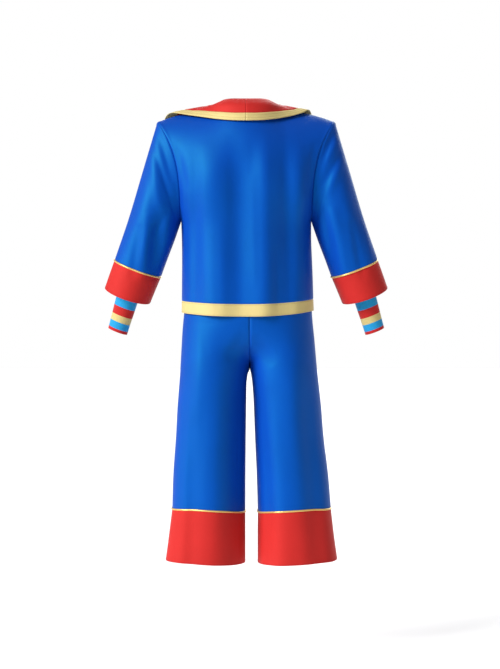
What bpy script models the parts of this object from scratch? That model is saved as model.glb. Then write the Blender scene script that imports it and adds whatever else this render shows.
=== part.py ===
"""Clown costume in its worn form, standing and hollow, in metres, +Z up.

Jacket with a wide flat collar, three-quarter sleeves with deep cuffs, striped undersleeves,
and wide cropped trousers with deep cuffs. The front faces -Y and the garment's own left is +X.
The origin lies between the shoulders, level with the high point of the shoulder seams.
Each piece is a thin wall: outer points on a lofted skin, inner points one cloth inwards.
"""
import math

import bpy
import numpy as np
from mathutils import Vector
from mathutils.bvhtree import BVHTree

# Cloth and seams
CLOTH = 0.0015
HALF_GAP = 0.00015
PIPING_RADIUS = 0.0019
PIPING_SIDES = 5
PIPING_CLEAR = 0.0004
PIPING_METALLIC = 0.6
SHARP_ANGLE = math.radians(50.0)
PLACE_DIGITS = 6
TINY = 1e-9

# Grid of the skin
BACK_COLUMNS = 20
UPPER_ROWS = 10
SLEEVE_ROWS = 8
LEG_COLUMNS = 30
UNDERSLEEVE_COLUMNS = 16
ROUNDNESS = 2.3

# Jacket body, a row for each level: height, centre x, half width, back depth, front depth
JACKET_LEVELS = (
    ("hem_edge", -0.5880, -0.0045, 0.1880, 0.1310, 0.1340),
    ("hem_seam", -0.5550, -0.0040, 0.1872, 0.1300, 0.1330),
    ("waist_low", -0.5000, -0.0035, 0.1862, 0.1285, 0.1310),
    ("waist", -0.4400, -0.0025, 0.1850, 0.1270, 0.1290),
    ("ribs", -0.3850, -0.0010, 0.1842, 0.1260, 0.1275),
    ("underarm", -0.3280, 0.0000, 0.1850, 0.1250, 0.1265),
)
HEM_DIP = 0.010
HEM_DIP_REACH = 0.20
HEM_DIP_TOP_Z = -0.40
HEM_RISE = 0.006

# Armhole, neckline and shoulder
ARMHOLE_BOTTOM_Z = -0.3280
SHOULDER_TIP_Z = -0.0470
SHOULDER_CROWN = 0.0060
SHOULDER_CROWN_LEAN = 1.6
SHOULDER_TIP_X = 0.2530
ARMHOLE_HALF_DEPTH = 0.0720
ARMHOLE_FLARE = 3.0
UNDERARM_EASE = 0.090
SLEEVE_SET_OFF = 0.0004
NECK_POINT = (0.0780, 0.0, -0.0040)
NECK_BACK = (0.0, 0.0620, -0.0200)
NECK_SHARE = 0.4
VEE_ROW = 4
# How the yoke's form fades below the neck and shoulder edges: its power, its easing and where that ends
TOP_PULL = 2.0
TOP_EASE = 0.30
TOP_HOLD = 8.0
TOP_EASE_STEPS = (-1.0, -0.6, -0.2, 0.2, 0.6, 1.0)
VEE_BOTTOM_Z = -0.2050
VEE_BOTTOM_Y = -0.1290
# Roundness of the centre lines above the underarm: powers of the share and of the depth
BACK_CENTRE_POWERS = (5.0, 1.0 / 1.6)
FRONT_EDGE_POWERS = (2.5, 1.0 / 1.5)
FRONT_EDGE_SLANT = 0.9
CORE_DROP = 0.05

# Soft folds of the jacket body: centre x, half width, height, top z
BACK_FOLDS = (
    (0.140, 0.030, -0.0020, -0.10),
    (0.086, 0.048, 0.0050, -0.09),
    (0.015, 0.045, -0.0060, -0.11),
    (-0.050, 0.040, 0.0055, -0.08),
    (-0.112, 0.035, -0.0050, -0.10),
)
FRONT_FOLDS = (
    (0.110, 0.035, -0.0045, -0.20),
    (0.060, 0.035, 0.0050, -0.22),
    (-0.055, 0.038, 0.0045, -0.22),
    (-0.105, 0.035, -0.0050, -0.18),
)
FOLD_EASE = 0.12
FOLD_FREE_X = 0.172
FOLD_FADE = 0.030

# Sleeve, a row for each station: share, outer x, outer z, inner x, inner z, half depth, centre y, back dip
SLEEVE_STATIONS = (
    (0.00, 0.2530, -0.0470, 0.1850, -0.3280, 0.0720, 0.000, 0.000),
    (0.35, 0.2930, -0.1830, 0.2040, -0.3840, 0.0740, 0.004, 0.002),
    (0.70, 0.3340, -0.3200, 0.2250, -0.4390, 0.0710, 0.002, 0.005),
    (1.00, 0.3750, -0.4385, 0.2430, -0.4875, 0.0660, -0.004, 0.008),
)
CUFF_STATIONS = (
    (0.00, 0.3750, -0.4385, 0.2430, -0.4875, 0.0660, -0.004, 0.008),
    (0.50, 0.3895, -0.4775, 0.2585, -0.5240, 0.0668, -0.008, 0.011),
    (1.00, 0.4035, -0.5170, 0.2740, -0.5610, 0.0670, -0.012, 0.014),
)
# Sleeve folds: angle from the underarm in degrees, half width in degrees, height, from share, to share
SLEEVE_FOLDS = (
    (62.0, 34.0, -0.0050, 0.25, 1.05),
    (118.0, 30.0, 0.0035, 0.15, 0.95),
    (250.0, 34.0, -0.0045, 0.20, 1.00),
    (300.0, 30.0, 0.0035, 0.30, 1.00),
)

# Undersleeve, a row for each station: centre x, centre y, centre z, half width, half depth
UNDERSLEEVE_STATIONS = (
    ("seam", 0.3105, -0.0050, -0.4675, 0.0664, 0.0630),
    ("funnel", 0.3185, -0.0065, -0.4870, 0.0480, 0.0440),
    ("forearm", 0.3290, -0.0090, -0.5150, 0.0355, 0.0325),
    ("cuff_mouth", 0.3400, -0.0115, -0.5490, 0.0322, 0.0300),
    ("stripe", 0.3490, -0.0140, -0.5790, 0.0310, 0.0285),
    ("low_stripe", 0.3590, -0.0170, -0.6120, 0.0296, 0.0268),
    ("wrist", 0.3680, -0.0200, -0.6420, 0.0288, 0.0258),
)
UNDERSLEEVE_TILT = math.radians(21.0)
UNDERSLEEVE_DIP = 0.10

# Collar, a row for each station: share, rise outwards, rise upwards, outer x, y and z, lean to the left, clearance
COLLAR_STATIONS_TABLE = (
    ("centre_back", 0.00, -0.006, 0.0360, 0.000, 0.1010, -0.0562, 0.00, 0.0065),
    ("nape", 0.08, -0.006, 0.0358, 0.034, 0.0985, -0.0562, 0.00, 0.0065),
    ("back", 0.17, -0.006, 0.0350, 0.067, 0.0810, -0.0520, 0.00, 0.0065),
    ("blade", 0.33, -0.006, 0.0290, 0.130, 0.0410, -0.0370, 0.03, 0.0065),
    ("shoulder", 0.50, -0.004, 0.0180, 0.198, 0.0020, -0.0300, 0.10, 0.0125),
    ("tip", 0.57, -0.001, 0.0150, 0.2145, -0.0300, -0.0500, 0.13, 0.0170),
    ("front_slope", 0.66, 0.002, 0.0110, 0.2005, -0.0760, -0.0880, 0.10, 0.0095),
    ("chest", 0.78, 0.006, 0.0050, 0.145, -0.1130, -0.1500, 0.07, 0.0055),
    ("low_chest", 0.90, 0.006, 0.0030, 0.072, -0.1300, -0.2130, 0.05, 0.0055),
    ("point", 1.00, 0.006, 0.0020, 0.010, -0.1300, -0.2450, 0.00, 0.0055),
)
COLLAR_TURN = 0.50
COLLAR_BAND_WIDTH = 0.026
COLLAR_FALL_SHARES = (0.16, 0.42, 0.70)
COLLAR_WIDEST_BAND_SHARE = 0.6
COLLAR_SEAT = 0.0005
COLLAR_RELAX_PASSES = 6
COLLAR_FRONT_CLEAR = 0.0024
COLLAR_PROBE = 0.010
COLLAR_ROLL_SHARE = 0.8
COLLAR_ROLL_POWER = 1.5
COLLAR_CORE_DROP = 0.15

# Trousers, a row for each level: height, left outer, left inner, right inner, right outer, back, front, closing
CROTCH_X = -0.0105
TROUSER_LEVELS = (
    ("waist", -0.4700, 0.1560, CROTCH_X, CROTCH_X, -0.1700, 0.1100, 0.1080, 0.00),
    ("high_hip", -0.5200, 0.1700, CROTCH_X, CROTCH_X, -0.1820, 0.1160, 0.1120, 0.00),
    ("hip", -0.5800, 0.1755, CROTCH_X, CROTCH_X, -0.1864, 0.1220, 0.1150, 0.00),
    ("seat", -0.6300, 0.1805, CROTCH_X, CROTCH_X, -0.1905, 0.1240, 0.1160, 0.05),
    ("low_seat", -0.6800, 0.1840, CROTCH_X, CROTCH_X, -0.1965, 0.1270, 0.1200, 0.24),
    ("fork", -0.7200, 0.1855, CROTCH_X, CROTCH_X, -0.1985, 0.1270, 0.1220, 0.58),
    ("crotch", -0.7460, 0.1862, CROTCH_X, CROTCH_X, -0.1995, 0.1175, 0.1130, 1.00),
    ("top_thigh", -0.7700, 0.1875, -0.0015, -0.0155, -0.2035, 0.1140, 0.1100, 1.00),
    ("thigh", -0.8300, 0.1925, -0.0003, -0.0205, -0.2110, 0.1110, 0.1080, 1.00),
    ("knee", -0.9400, 0.1985, 0.0010, -0.0250, -0.2200, 0.1070, 0.1050, 1.00),
    ("shin", -1.0500, 0.2060, 0.0020, -0.0300, -0.2330, 0.1040, 0.1030, 1.00),
    ("piping", -1.1480, 0.2090, 0.0023, -0.0330, -0.2410, 0.1020, 0.1015, 1.00),
)
CROTCH_ROW = 6
LEG_SEAM_Z = -1.1480
LEG_CUFF_HEIGHT = 0.1435
LEG_TILT = 0.005
LEG_TILT_TOP_Z = -0.95
LEG_TILT_REACH = 0.198
LEG_SEAM_RISE = 0.010
LEG_HEM_RISE = 0.003
LEG_CUFF_LEVELS = (
    ("piping", -1.1480, 0.2090, 0.0023, -0.0330, -0.2410, 0.1020, 0.1015, 1.00),
    ("cuff", -1.2200, 0.2180, 0.0023, -0.0325, -0.2490, 0.1030, 0.1025, 1.00),
    ("hem", -1.2915, 0.2275, 0.0023, -0.0325, -0.2590, 0.1050, 0.1040, 1.00),
)
WAISTBAND_TOP_Z = -0.4320
WAISTBAND_TOP_SCALE = 0.975
# Leg folds: angle round the leg in degrees, half width in degrees, height, top z, and the leg's side
LEG_FOLDS = (
    (205.0, 26.0, 0.0045, -0.66, 1),
    (255.0, 26.0, -0.0050, -0.74, 1),
    (100.0, 28.0, -0.0045, -0.70, 1),
    (150.0, 26.0, 0.0040, -0.72, 1),
    (295.0, 24.0, 0.0050, -0.74, -1),
    (240.0, 28.0, -0.0050, -0.70, -1),
    (70.0, 26.0, -0.0045, -0.74, -1),
    (130.0, 28.0, 0.0045, -0.68, -1),
)
LEG_FOLD_EASE = 0.20

# Colours, linear RGB, and surface values
MATERIALS = {
    "blue_cloth": ((0.006, 0.150, 0.560, 1.0), 0.48),
    "red_cloth": ((0.716, 0.034, 0.034, 1.0), 0.55),
    "yellow_cloth": ((0.863, 0.658, 0.246, 1.0), 0.60),
    "gold_piping": ((0.694, 0.381, 0.051, 1.0), 0.30),
    "striped_knit": ((0.027, 0.352, 0.716, 1.0), 0.85),
}


def unit(vectors):
    """Vectors of length one, along the last axis."""
    lengths = np.linalg.norm(vectors, axis=-1, keepdims=True)
    return vectors / np.maximum(lengths, TINY)


def smooth_step(value):
    """Ease from 0 to 1 with flat ends."""
    share = min(max(value, 0.0), 1.0)
    return share * share * (3.0 - 2.0 * share)


def signed_power(value, power):
    """Power of the size of a value, with its sign kept."""
    return math.copysign(abs(value) ** power, value)


def soft_bump(distance, half_width):
    """A cosine hump, 1 in the middle and 0 from the half width out."""
    if abs(distance) >= half_width:
        return 0.0
    return 0.5 + 0.5 * math.cos(math.pi * distance / half_width)


class Patch:
    """One cloth piece: a grid of outer points with a core point inside it for each row."""

    def __init__(self, name, slot, points, cores, closed=False, join_row=None):
        self.name = name
        self.slot = slot
        self.points = np.array(points, dtype=float)
        self.cores = np.array(cores, dtype=float)
        self.closed = closed
        self.join_row = join_row
        self.normals = None
        self.shift = np.zeros_like(self.points)

    def quads(self):
        """Grid cells as pairs of row and column, turned so that they face away from the cores."""
        rows, columns = self.points.shape[:2]
        last = columns if self.closed else columns - 1
        cells = []
        for row in range(rows - 1):
            for column in range(last):
                after = (column + 1) % columns
                cells.append(((row, column), (row, after), (row + 1, after), (row + 1, column)))
        total = 0.0
        for cell in cells:
            corners = [self.points[key] for key in cell]
            normal = np.cross(corners[2] - corners[0], corners[3] - corners[1])
            total += float(np.dot(normal, sum(corners) / 4.0 - self.cores[cell[0][0]]))
        if total < 0.0:
            cells = [cell[::-1] for cell in cells]
        return cells

    def part_from_neighbours(self, sides):
        """Draw the named sides back by half a seam gap."""
        for side in sides:
            if side == "top":
                self.shift[0] += unit(self.points[1] - self.points[0]) * HALF_GAP
            elif side == "bottom":
                self.shift[-1] += unit(self.points[-2] - self.points[-1]) * HALF_GAP
            elif side == "first":
                self.shift[:, 0] += unit(self.points[:, 1] - self.points[:, 0]) * HALF_GAP
            elif side == "last":
                self.shift[:, -1] += unit(self.points[:, -2] - self.points[:, -1]) * HALF_GAP


def share_normals(patches):
    """Give every patch its point normals, averaged over all patches that meet at a point."""
    sums = {}
    for patch in patches:
        for cell in patch.quads():
            corners = [patch.points[key] for key in cell]
            normal = np.cross(corners[2] - corners[0], corners[3] - corners[1])
            for corner in corners:
                place = tuple(np.round(corner, PLACE_DIGITS) + 0.0)
                sums[place] = sums.get(place, np.zeros(3)) + normal
    for patch in patches:
        patch.normals = np.zeros_like(patch.points)
        rows, columns = patch.points.shape[:2]
        for row in range(rows):
            for column in range(columns):
                place = tuple(np.round(patch.points[row, column], PLACE_DIGITS) + 0.0)
                patch.normals[row, column] = sums[place]
        patch.normals = unit(patch.normals)


def add_object(name, vertices, faces, slot, collection, materials):
    """A mesh object with its material, shaded smooth, in the costume's collection."""
    mesh = bpy.data.meshes.new(name)
    mesh.from_pydata([tuple(vertex) for vertex in vertices], [], faces)
    mesh.validate()
    mesh.shade_smooth()
    mesh.set_sharp_from_angle(angle=SHARP_ANGLE)
    mesh.materials.append(materials[slot])
    made = bpy.data.objects.new(name, mesh)
    collection.objects.link(made)
    return made


def make_wall(patch, collection, materials):
    """Close a patch into a wall: outer skin, inner skin and the cut edges between them."""
    rows, columns = patch.points.shape[:2]
    outer = patch.points + patch.shift
    inner = outer - patch.normals * CLOTH
    index = np.arange(rows * columns).reshape(rows, columns)
    if patch.join_row is not None:
        for row in range(patch.join_row, rows):
            index[row, columns - 1] = index[row, 0]
    count = rows * columns
    faces = []
    edges = {}
    for cell in patch.quads():
        loop = [int(index[key]) for key in cell]
        faces.append(tuple(loop))
        faces.append(tuple(vertex + count for vertex in reversed(loop)))
        for start, end in zip(loop, loop[1:] + loop[:1]):
            edges[(start, end)] = True
    for start, end in edges:
        if (end, start) not in edges:
            faces.append((end, start, start + count, end + count))
    vertices = np.concatenate([outer.reshape(-1, 3), inner.reshape(-1, 3)])
    used = sorted({vertex for face in faces for vertex in face})
    renumber = {old: new for new, old in enumerate(used)}
    faces = [tuple(renumber[vertex] for vertex in face) for face in faces]
    return add_object(patch.name, vertices[used], faces, patch.slot, collection, materials)


def make_piping(name, patch, row, collection, materials):
    """A thin round cord on the seam at a row of a patch, just clear of the cloth."""
    ring = patch.points[row]
    normals = patch.normals[row]
    if patch.join_row is not None:
        ring = ring[:-1]
        normals = normals[:-1]
    along = unit(np.roll(ring, -1, axis=0) - np.roll(ring, 1, axis=0))
    across = unit(np.cross(normals, along))
    lift = PIPING_RADIUS + PIPING_CLEAR
    vertices = []
    for place, normal, side in zip(ring, normals, across):
        centre = place + normal * lift
        for corner in range(PIPING_SIDES):
            angle = 2.0 * math.pi * corner / PIPING_SIDES
            vertices.append(centre + PIPING_RADIUS * (math.cos(angle) * normal + math.sin(angle) * side))
    faces = []
    count = len(ring)
    for station in range(count):
        after = (station + 1) % count
        for corner in range(PIPING_SIDES):
            following = (corner + 1) % PIPING_SIDES
            faces.append((
                station * PIPING_SIDES + corner,
                after * PIPING_SIDES + corner,
                after * PIPING_SIDES + following,
                station * PIPING_SIDES + following,
            ))
    test = np.array([vertices[vertex] for vertex in faces[0]])
    normal = np.cross(test[2] - test[0], test[3] - test[1])
    if float(np.dot(normal, test.mean(axis=0) - (ring[0] + normals[0] * lift))) < 0.0:
        faces = [face[::-1] for face in faces]
    return add_object(name, vertices, faces, "gold_piping", collection, materials)


# Jacket body

def jacket_fold(x, y, z):
    """How far the soft folds move a point of the jacket's body outwards."""
    table = BACK_FOLDS if y > 0.0 else FRONT_FOLDS
    free = smooth_step((FOLD_FREE_X - abs(x)) / FOLD_FADE)
    total = 0.0
    for centre, half_width, height, top in table:
        strength = smooth_step((top - z) / FOLD_EASE)
        total += height * strength * soft_bump(x - centre, half_width)
    return total * free


def folded(point):
    """A point of the jacket's body with its fold added, straight back or straight forward."""
    x, y, z = point
    return np.array((x, y + math.copysign(1.0, y) * jacket_fold(x, y, z), z))


def jacket_section(level, angle):
    """A point of a level of the jacket: 0 is centre back, 90 the garment's left side, 180 centre front."""
    _, z, centre, half_width, back, front = level
    sine = signed_power(math.sin(angle), 2.0 / ROUNDNESS)
    cosine = signed_power(math.cos(angle), 2.0 / ROUNDNESS)
    depth = back if cosine > 0.0 else front
    dip = HEM_DIP * max(cosine, 0.0) ** 2 - HEM_RISE * max(-sine, 0.0) ** 2
    dip *= smooth_step((HEM_DIP_TOP_Z - z) / HEM_DIP_REACH)
    if abs(sine) < TINY:
        sine = 0.0
    if abs(cosine) < TINY:
        cosine = 0.0
    return np.array((centre + half_width * sine, depth * cosine, z - dip))


def armhole(angle, side, face):
    """A point of the armhole: angle 0 underarm to pi at the shoulder tip, side +-1, face +1 back."""
    middle = 0.5 * (ARMHOLE_BOTTOM_Z + SHOULDER_TIP_Z)
    half = 0.5 * (SHOULDER_TIP_Z - ARMHOLE_BOTTOM_Z)
    z = middle - half * math.cos(angle)
    share = (z - ARMHOLE_BOTTOM_Z) / (2.0 * half)
    narrow = JACKET_LEVELS[-1][3]
    x = narrow + (SHOULDER_TIP_X - narrow) * share ** ARMHOLE_FLARE
    y = face * ARMHOLE_HALF_DEPTH * math.sin(angle)
    if abs(math.sin(angle)) < TINY:
        y = 0.0
    return np.array((side * x, y, z))


def shoulder_seam(share, side):
    """A point of the shoulder seam, 0 at the neck and 1 at the tip."""
    neck = np.array(NECK_POINT)
    tip = np.array((SHOULDER_TIP_X, 0.0, SHOULDER_TIP_Z))
    point = neck + (tip - neck) * share
    point[2] += SHOULDER_CROWN * math.sin(math.pi * share ** SHOULDER_CROWN_LEAN)
    return point * np.array((side, 1.0, 1.0))


def back_neckline(share, side):
    """A point of the back neckline, 0 at centre back and 1 at the neck point."""
    angle = 0.5 * math.pi * share
    x = NECK_POINT[0] * math.sin(angle) * side
    y = NECK_BACK[1] * math.cos(angle) if share < 1.0 else 0.0
    z = NECK_BACK[2] + (NECK_POINT[2] - NECK_BACK[2]) * (1.0 - math.cos(angle))
    return np.array((x, y, z))


def front_neckline(share, side):
    """A point of the front edge above the closing, 0 at the closing and 1 at the neck point."""
    x = side * NECK_POINT[0] * share ** FRONT_EDGE_SLANT
    sharp, flat = FRONT_EDGE_POWERS
    y = VEE_BOTTOM_Y * max(1.0 - share ** sharp, 0.0) ** flat
    z = VEE_BOTTOM_Z + (NECK_POINT[2] - VEE_BOTTOM_Z) * share
    return np.array((x, y, z))


def back_top(share, side):
    """Top edge of the back panel, from centre back over the neck point to the shoulder tip."""
    if share <= NECK_SHARE + TINY:
        return back_neckline(min(share / NECK_SHARE, 1.0), side)
    return shoulder_seam((share - NECK_SHARE) / (1.0 - NECK_SHARE), side)


def back_centre(share):
    """Centre-back line above the underarm."""
    bottom = JACKET_LEVELS[-1][4]
    z = ARMHOLE_BOTTOM_Z + (NECK_BACK[2] - ARMHOLE_BOTTOM_Z) * share
    sharp, flat = BACK_CENTRE_POWERS
    y = NECK_BACK[1] + (bottom - NECK_BACK[1]) * max(1.0 - share ** sharp, 0.0) ** flat
    return np.array((0.0, y, z))


def front_centre(share, side):
    """Front edge above the underarm: straight to the closing, then along the neckline."""
    closing = VEE_ROW / UPPER_ROWS
    if share <= closing + TINY:
        part = share / closing
        z = ARMHOLE_BOTTOM_Z + (VEE_BOTTOM_Z - ARMHOLE_BOTTOM_Z) * part
        y = -JACKET_LEVELS[-1][5] + (VEE_BOTTOM_Y + JACKET_LEVELS[-1][5]) * part
        return np.array((0.0, y, z))
    return front_neckline((share - closing) / (1.0 - closing), side)


def coons(across, up, bottom, top, inner, outer):
    """A point of the surface spanned by four edge curves, with the top edge's own form soon left below it."""
    pull = up ** TOP_PULL
    reach = min(TOP_EASE, across, 1.0 - across) * (1.0 - up ** TOP_HOLD)
    eased = sum(top(across + reach * step) for step in TOP_EASE_STEPS) / len(TOP_EASE_STEPS)
    blend = (1.0 - pull) * bottom(across) + pull * eased
    blend = blend + (1.0 - across) * inner(up) + across * outer(up)
    corners = (1.0 - across) * (1.0 - pull) * bottom(0.0) + across * (1.0 - pull) * bottom(1.0)
    corners = corners + (1.0 - across) * pull * top(0.0) + across * pull * top(1.0)
    return blend - corners


def upper_half(face, side):
    """Grid of a half panel above the underarm, top row first, centre column first."""
    underarm = JACKET_LEVELS[-1]
    columns = BACK_COLUMNS // 2

    def bottom(share):
        angle = 0.5 * math.pi * share
        if face < 0:
            angle = math.pi - angle
        return jacket_section(underarm, side * angle)

    def top(share):
        if face > 0:
            return back_top(share, side)
        return shoulder_seam(share, side)

    def inner(share):
        if face > 0:
            return back_centre(share)
        return front_centre(share, side)

    def outer(share):
        return armhole(math.pi * share, side, face)

    grid = []
    for row in range(UPPER_ROWS, -1, -1):
        line = []
        for column in range(columns + 1):
            line.append(coons(column / columns, row / UPPER_ROWS, bottom, top, inner, outer))
        grid.append(line)
    return np.array(grid)


def lower_half(face, side, levels):
    """Grid of a half panel between levels, top row first, centre column first."""
    columns = BACK_COLUMNS // 2
    grid = []
    for level in reversed(levels):
        line = []
        for column in range(columns + 1):
            angle = 0.5 * math.pi * column / columns
            if face < 0:
                angle = math.pi - angle
            line.append(jacket_section(level, side * angle))
        grid.append(line)
    return np.array(grid)


def with_folds(grid):
    """The grid with every point moved by the jacket's soft folds."""
    return np.array([[folded(point) for point in row] for row in grid])


def jacket_cores(grid):
    """Core points on the body's upright axis, a row each."""
    return np.array([(0.0, 0.0, row[:, 2].mean() - CORE_DROP) for row in grid])


def whole_back(right, left):
    """Join two back halves at centre back, right side seam first."""
    return np.concatenate([right[:, ::-1], left[:, 1:]], axis=1)


def jacket_patches():
    """Back, two fronts and the hem band's three pieces."""
    body_levels = JACKET_LEVELS[1:]
    band_levels = JACKET_LEVELS[:2]
    patches = {}
    halves = {}
    bands = {}
    for face in (1, -1):
        for side in (1, -1):
            upper = upper_half(face, side)
            lower = lower_half(face, side, body_levels)
            halves[face, side] = with_folds(np.concatenate([upper, lower[1:]], axis=0))
            bands[face, side] = with_folds(lower_half(face, side, band_levels))
    back = whole_back(halves[1, -1], halves[1, 1])
    patches["jacket_back"] = Patch("jacket_back", "blue_cloth", back, jacket_cores(back))
    patches["jacket_back"].part_from_neighbours(("top", "bottom", "first", "last"))
    band = whole_back(bands[1, -1], bands[1, 1])
    name = "jacket_hem_band_back"
    patches[name] = Patch(name, "yellow_cloth", band, jacket_cores(band))
    patches[name].part_from_neighbours(("top", "first", "last"))
    for side, word in ((1, "left"), (-1, "right")):
        name = "jacket_front_" + word
        grid = halves[-1, side]
        patches[name] = Patch(name, "blue_cloth", grid, jacket_cores(grid))
        patches[name].part_from_neighbours(("top", "bottom", "first", "last"))
        name = "jacket_hem_band_front_" + word
        grid = bands[-1, side]
        patches[name] = Patch(name, "yellow_cloth", grid, jacket_cores(grid))
        patches[name].part_from_neighbours(("top", "first", "last"))
    return patches


def part_underarms(jacket, sleeves, own_normals):
    """Face each armhole edge its own piece's way near the underarm, where body and sleeve fold back."""
    back = jacket["jacket_back"]
    for side, word in ((1, "left"), (-1, "right")):
        front = jacket["jacket_front_" + word]
        sleeve = sleeves[word][0]
        for row in range(UPPER_ROWS + 1):
            step = UPPER_ROWS - row
            places = (
                (back, (row, -1 if side > 0 else 0)),
                (front, (row, -1)),
                (sleeve, (0, step)),
                (sleeve, (0, -step if step < UPPER_ROWS else step)),
            )
            for patch, key in places:
                shared = smooth_step((patch.points[key][2] - ARMHOLE_BOTTOM_Z) / UNDERARM_EASE)
                own = own_normals[patch.name][key]
                patch.normals[key] = unit(shared * patch.normals[key] + (1.0 - shared) * own)
        sleeve.shift[0] = (side * SLEEVE_SET_OFF, 0.0, 0.0)


def match_shoulder_normals(jacket, sleeves):
    """Turn both panels' walls the same way along each shoulder seam, where their columns differ."""
    back = jacket["jacket_back"]
    middle = BACK_COLUMNS // 2
    first = round(NECK_SHARE * middle)
    for side, word in ((1, "left"), (-1, "right")):
        columns = [middle + side * step for step in range(first, middle + 1)]
        along = back.normals[0, columns] * np.array((1.0, 0.0, 1.0))
        along = unit(along)
        back.normals[0, columns] = along
        front = jacket["jacket_front_" + word]
        shares = np.linspace(0.0, 1.0, len(columns))
        for column in range(middle + 1):
            share = column / middle
            blended = [np.interp(share, shares, along[:, axis]) for axis in range(3)]
            front.normals[0, column] = unit(np.array(blended))
        sleeves[word][0].normals[0, UPPER_ROWS] = along[-1]


# Sleeves, cuffs and undersleeves

def station_values(table, share):
    """A row of a sleeve table at any share, read straight between its rows."""
    shares = [row[0] for row in table]
    return [float(np.interp(share, shares, [row[column] for row in table])) for column in range(1, 8)]


def sleeve_ring(table, share, side, fold_share):
    """A ring of a sleeve or cuff: underarm point first, over the back, tip and front."""
    outer_x, outer_z, inner_x, inner_z, half_depth, centre_y, back_dip = station_values(table, share)
    centre = np.array((0.5 * (outer_x + inner_x), centre_y, 0.5 * (outer_z + inner_z)))
    half = np.array((0.5 * (outer_x - inner_x), 0.0, 0.5 * (outer_z - inner_z)))
    ring = []
    for column in range(2 * UPPER_ROWS):
        angle = math.pi * column / UPPER_ROWS
        place = centre - half * math.cos(angle)
        place = place + np.array((0.0, half_depth * math.sin(angle), -back_dip * math.sin(angle)))
        away = unit(place - centre)
        move = 0.0
        for middle, half_width, height, start, end in SLEEVE_FOLDS:
            strength = soft_bump(fold_share - 0.5 * (start + end), 0.5 * (end - start))
            gap = (math.degrees(angle) - middle + 180.0) % 360.0 - 180.0
            move += height * strength * soft_bump(gap, half_width)
        place = place + away * move
        ring.append(place * np.array((side, 1.0, 1.0)))
    return np.array(ring)


def armhole_ring(side):
    """The armhole as a ring in a sleeve's column order."""
    ring = []
    for column in range(2 * UPPER_ROWS):
        if column <= UPPER_ROWS:
            ring.append(armhole(math.pi * column / UPPER_ROWS, side, 1))
        else:
            ring.append(armhole(math.pi * (2.0 - column / UPPER_ROWS), side, -1))
    return np.array(ring)


def sleeve_patches(side, word):
    """Sleeve and cuff of one arm."""
    rings = [armhole_ring(side)]
    for row in range(1, SLEEVE_ROWS + 1):
        share = row / SLEEVE_ROWS
        rings.append(sleeve_ring(SLEEVE_STATIONS, share, side, share))
    grid = np.array(rings)
    sleeve = Patch("sleeve_" + word, "blue_cloth", grid, grid.mean(axis=1), closed=True)
    sleeve.part_from_neighbours(("bottom",))
    cuff_rings = [sleeve_ring(CUFF_STATIONS, share, side, 1.0) for share in (0.0, 0.5, 1.0)]
    grid = np.array(cuff_rings)
    cuff = Patch("sleeve_cuff_" + word, "red_cloth", grid, grid.mean(axis=1), closed=True)
    cuff.part_from_neighbours(("top",))
    return sleeve, cuff


def undersleeve_patch(side, word):
    """Striped knit tube, flared at its top to the seam of the cuff."""
    rings = []
    tilt_x = math.cos(UNDERSLEEVE_TILT)
    tilt_z = math.sin(UNDERSLEEVE_TILT)
    for _, x, y, z, half_width, half_depth in UNDERSLEEVE_STATIONS:
        ring = []
        for column in range(UNDERSLEEVE_COLUMNS):
            angle = 2.0 * math.pi * column / UNDERSLEEVE_COLUMNS
            wide = -half_width * math.cos(angle)
            deep = half_depth * math.sin(angle)
            ring.append((side * (x + wide * tilt_x), y + deep, z + wide * tilt_z - UNDERSLEEVE_DIP * deep))
        rings.append(ring)
    grid = np.array(rings)
    return Patch("undersleeve_" + word, "striped_knit", grid, grid.mean(axis=1), closed=True)


# Collar

def neckline(side):
    """The corners of the panels' neck edge from centre back to the closing, and their shares."""
    back_count = round(NECK_SHARE * BACK_COLUMNS / 2)
    front_count = UPPER_ROWS - VEE_ROW
    corners = []
    shares = []
    for step in range(back_count):
        corners.append(folded(back_neckline(step / back_count, side)))
        shares.append(COLLAR_TURN * step / back_count)
    for step in range(front_count + 1):
        corners.append(folded(front_neckline(1.0 - step / front_count, side)))
        shares.append(COLLAR_TURN + (1.0 - COLLAR_TURN) * step / front_count)
    return np.array(corners), shares


def station_shares():
    """Shares of the collar's stations: two for each edge of the panels' neckline."""
    back_count = round(NECK_SHARE * BACK_COLUMNS)
    front_count = 2 * (UPPER_ROWS - VEE_ROW)
    shares = [COLLAR_TURN * step / back_count for step in range(back_count)]
    for step in range(front_count + 1):
        shares.append(COLLAR_TURN + (1.0 - COLLAR_TURN) * step / front_count)
    return shares


def collar_values(share):
    """A row of the collar table at any share, read straight between its rows."""
    shares = [row[1] for row in COLLAR_STATIONS_TABLE]
    columns = range(2, 9)
    return [float(np.interp(share, shares, [row[c] for row in COLLAR_STATIONS_TABLE])) for c in columns]


def relaxed(lines, floors, body_tree):
    """The fall's points eased along the collar, and kept clear of the jacket below."""
    lines = lines.copy()
    for _ in range(COLLAR_RELAX_PASSES):
        middle = 0.5 * lines[1:-1, 2:] + 0.25 * (lines[:-2, 2:] + lines[2:, 2:])
        lines[1:-1, 2:] = middle
        for station in range(1, len(lines) - 1):
            for column in range(2, lines.shape[1]):
                point = lines[station, column]
                place, normal, _, _ = body_tree.find_nearest(Vector(point))
                height = float(np.dot(point - np.array(place), np.array(normal)))
                if height < floors[station]:
                    lines[station, column] = point + np.array(normal) * (floors[station] - height)
    return lines


def parted_at_front(lines, side):
    """The collar's points kept on their own side of the closing."""
    for station in range(1, len(lines)):
        for point in lines[station]:
            point[0] = side * max(side * point[0], COLLAR_FRONT_CLEAR)
    return lines


def collar_edge(side):
    """The collar's outer edge, a point for each station, leaning to the left as it is worn."""
    edge = []
    for share in station_shares():
        _, _, outer_x, outer_y, outer_z, lean, _ = collar_values(share)
        edge.append((side * outer_x * (1.0 + side * lean), outer_y, outer_z))
    return np.array(edge)


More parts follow.
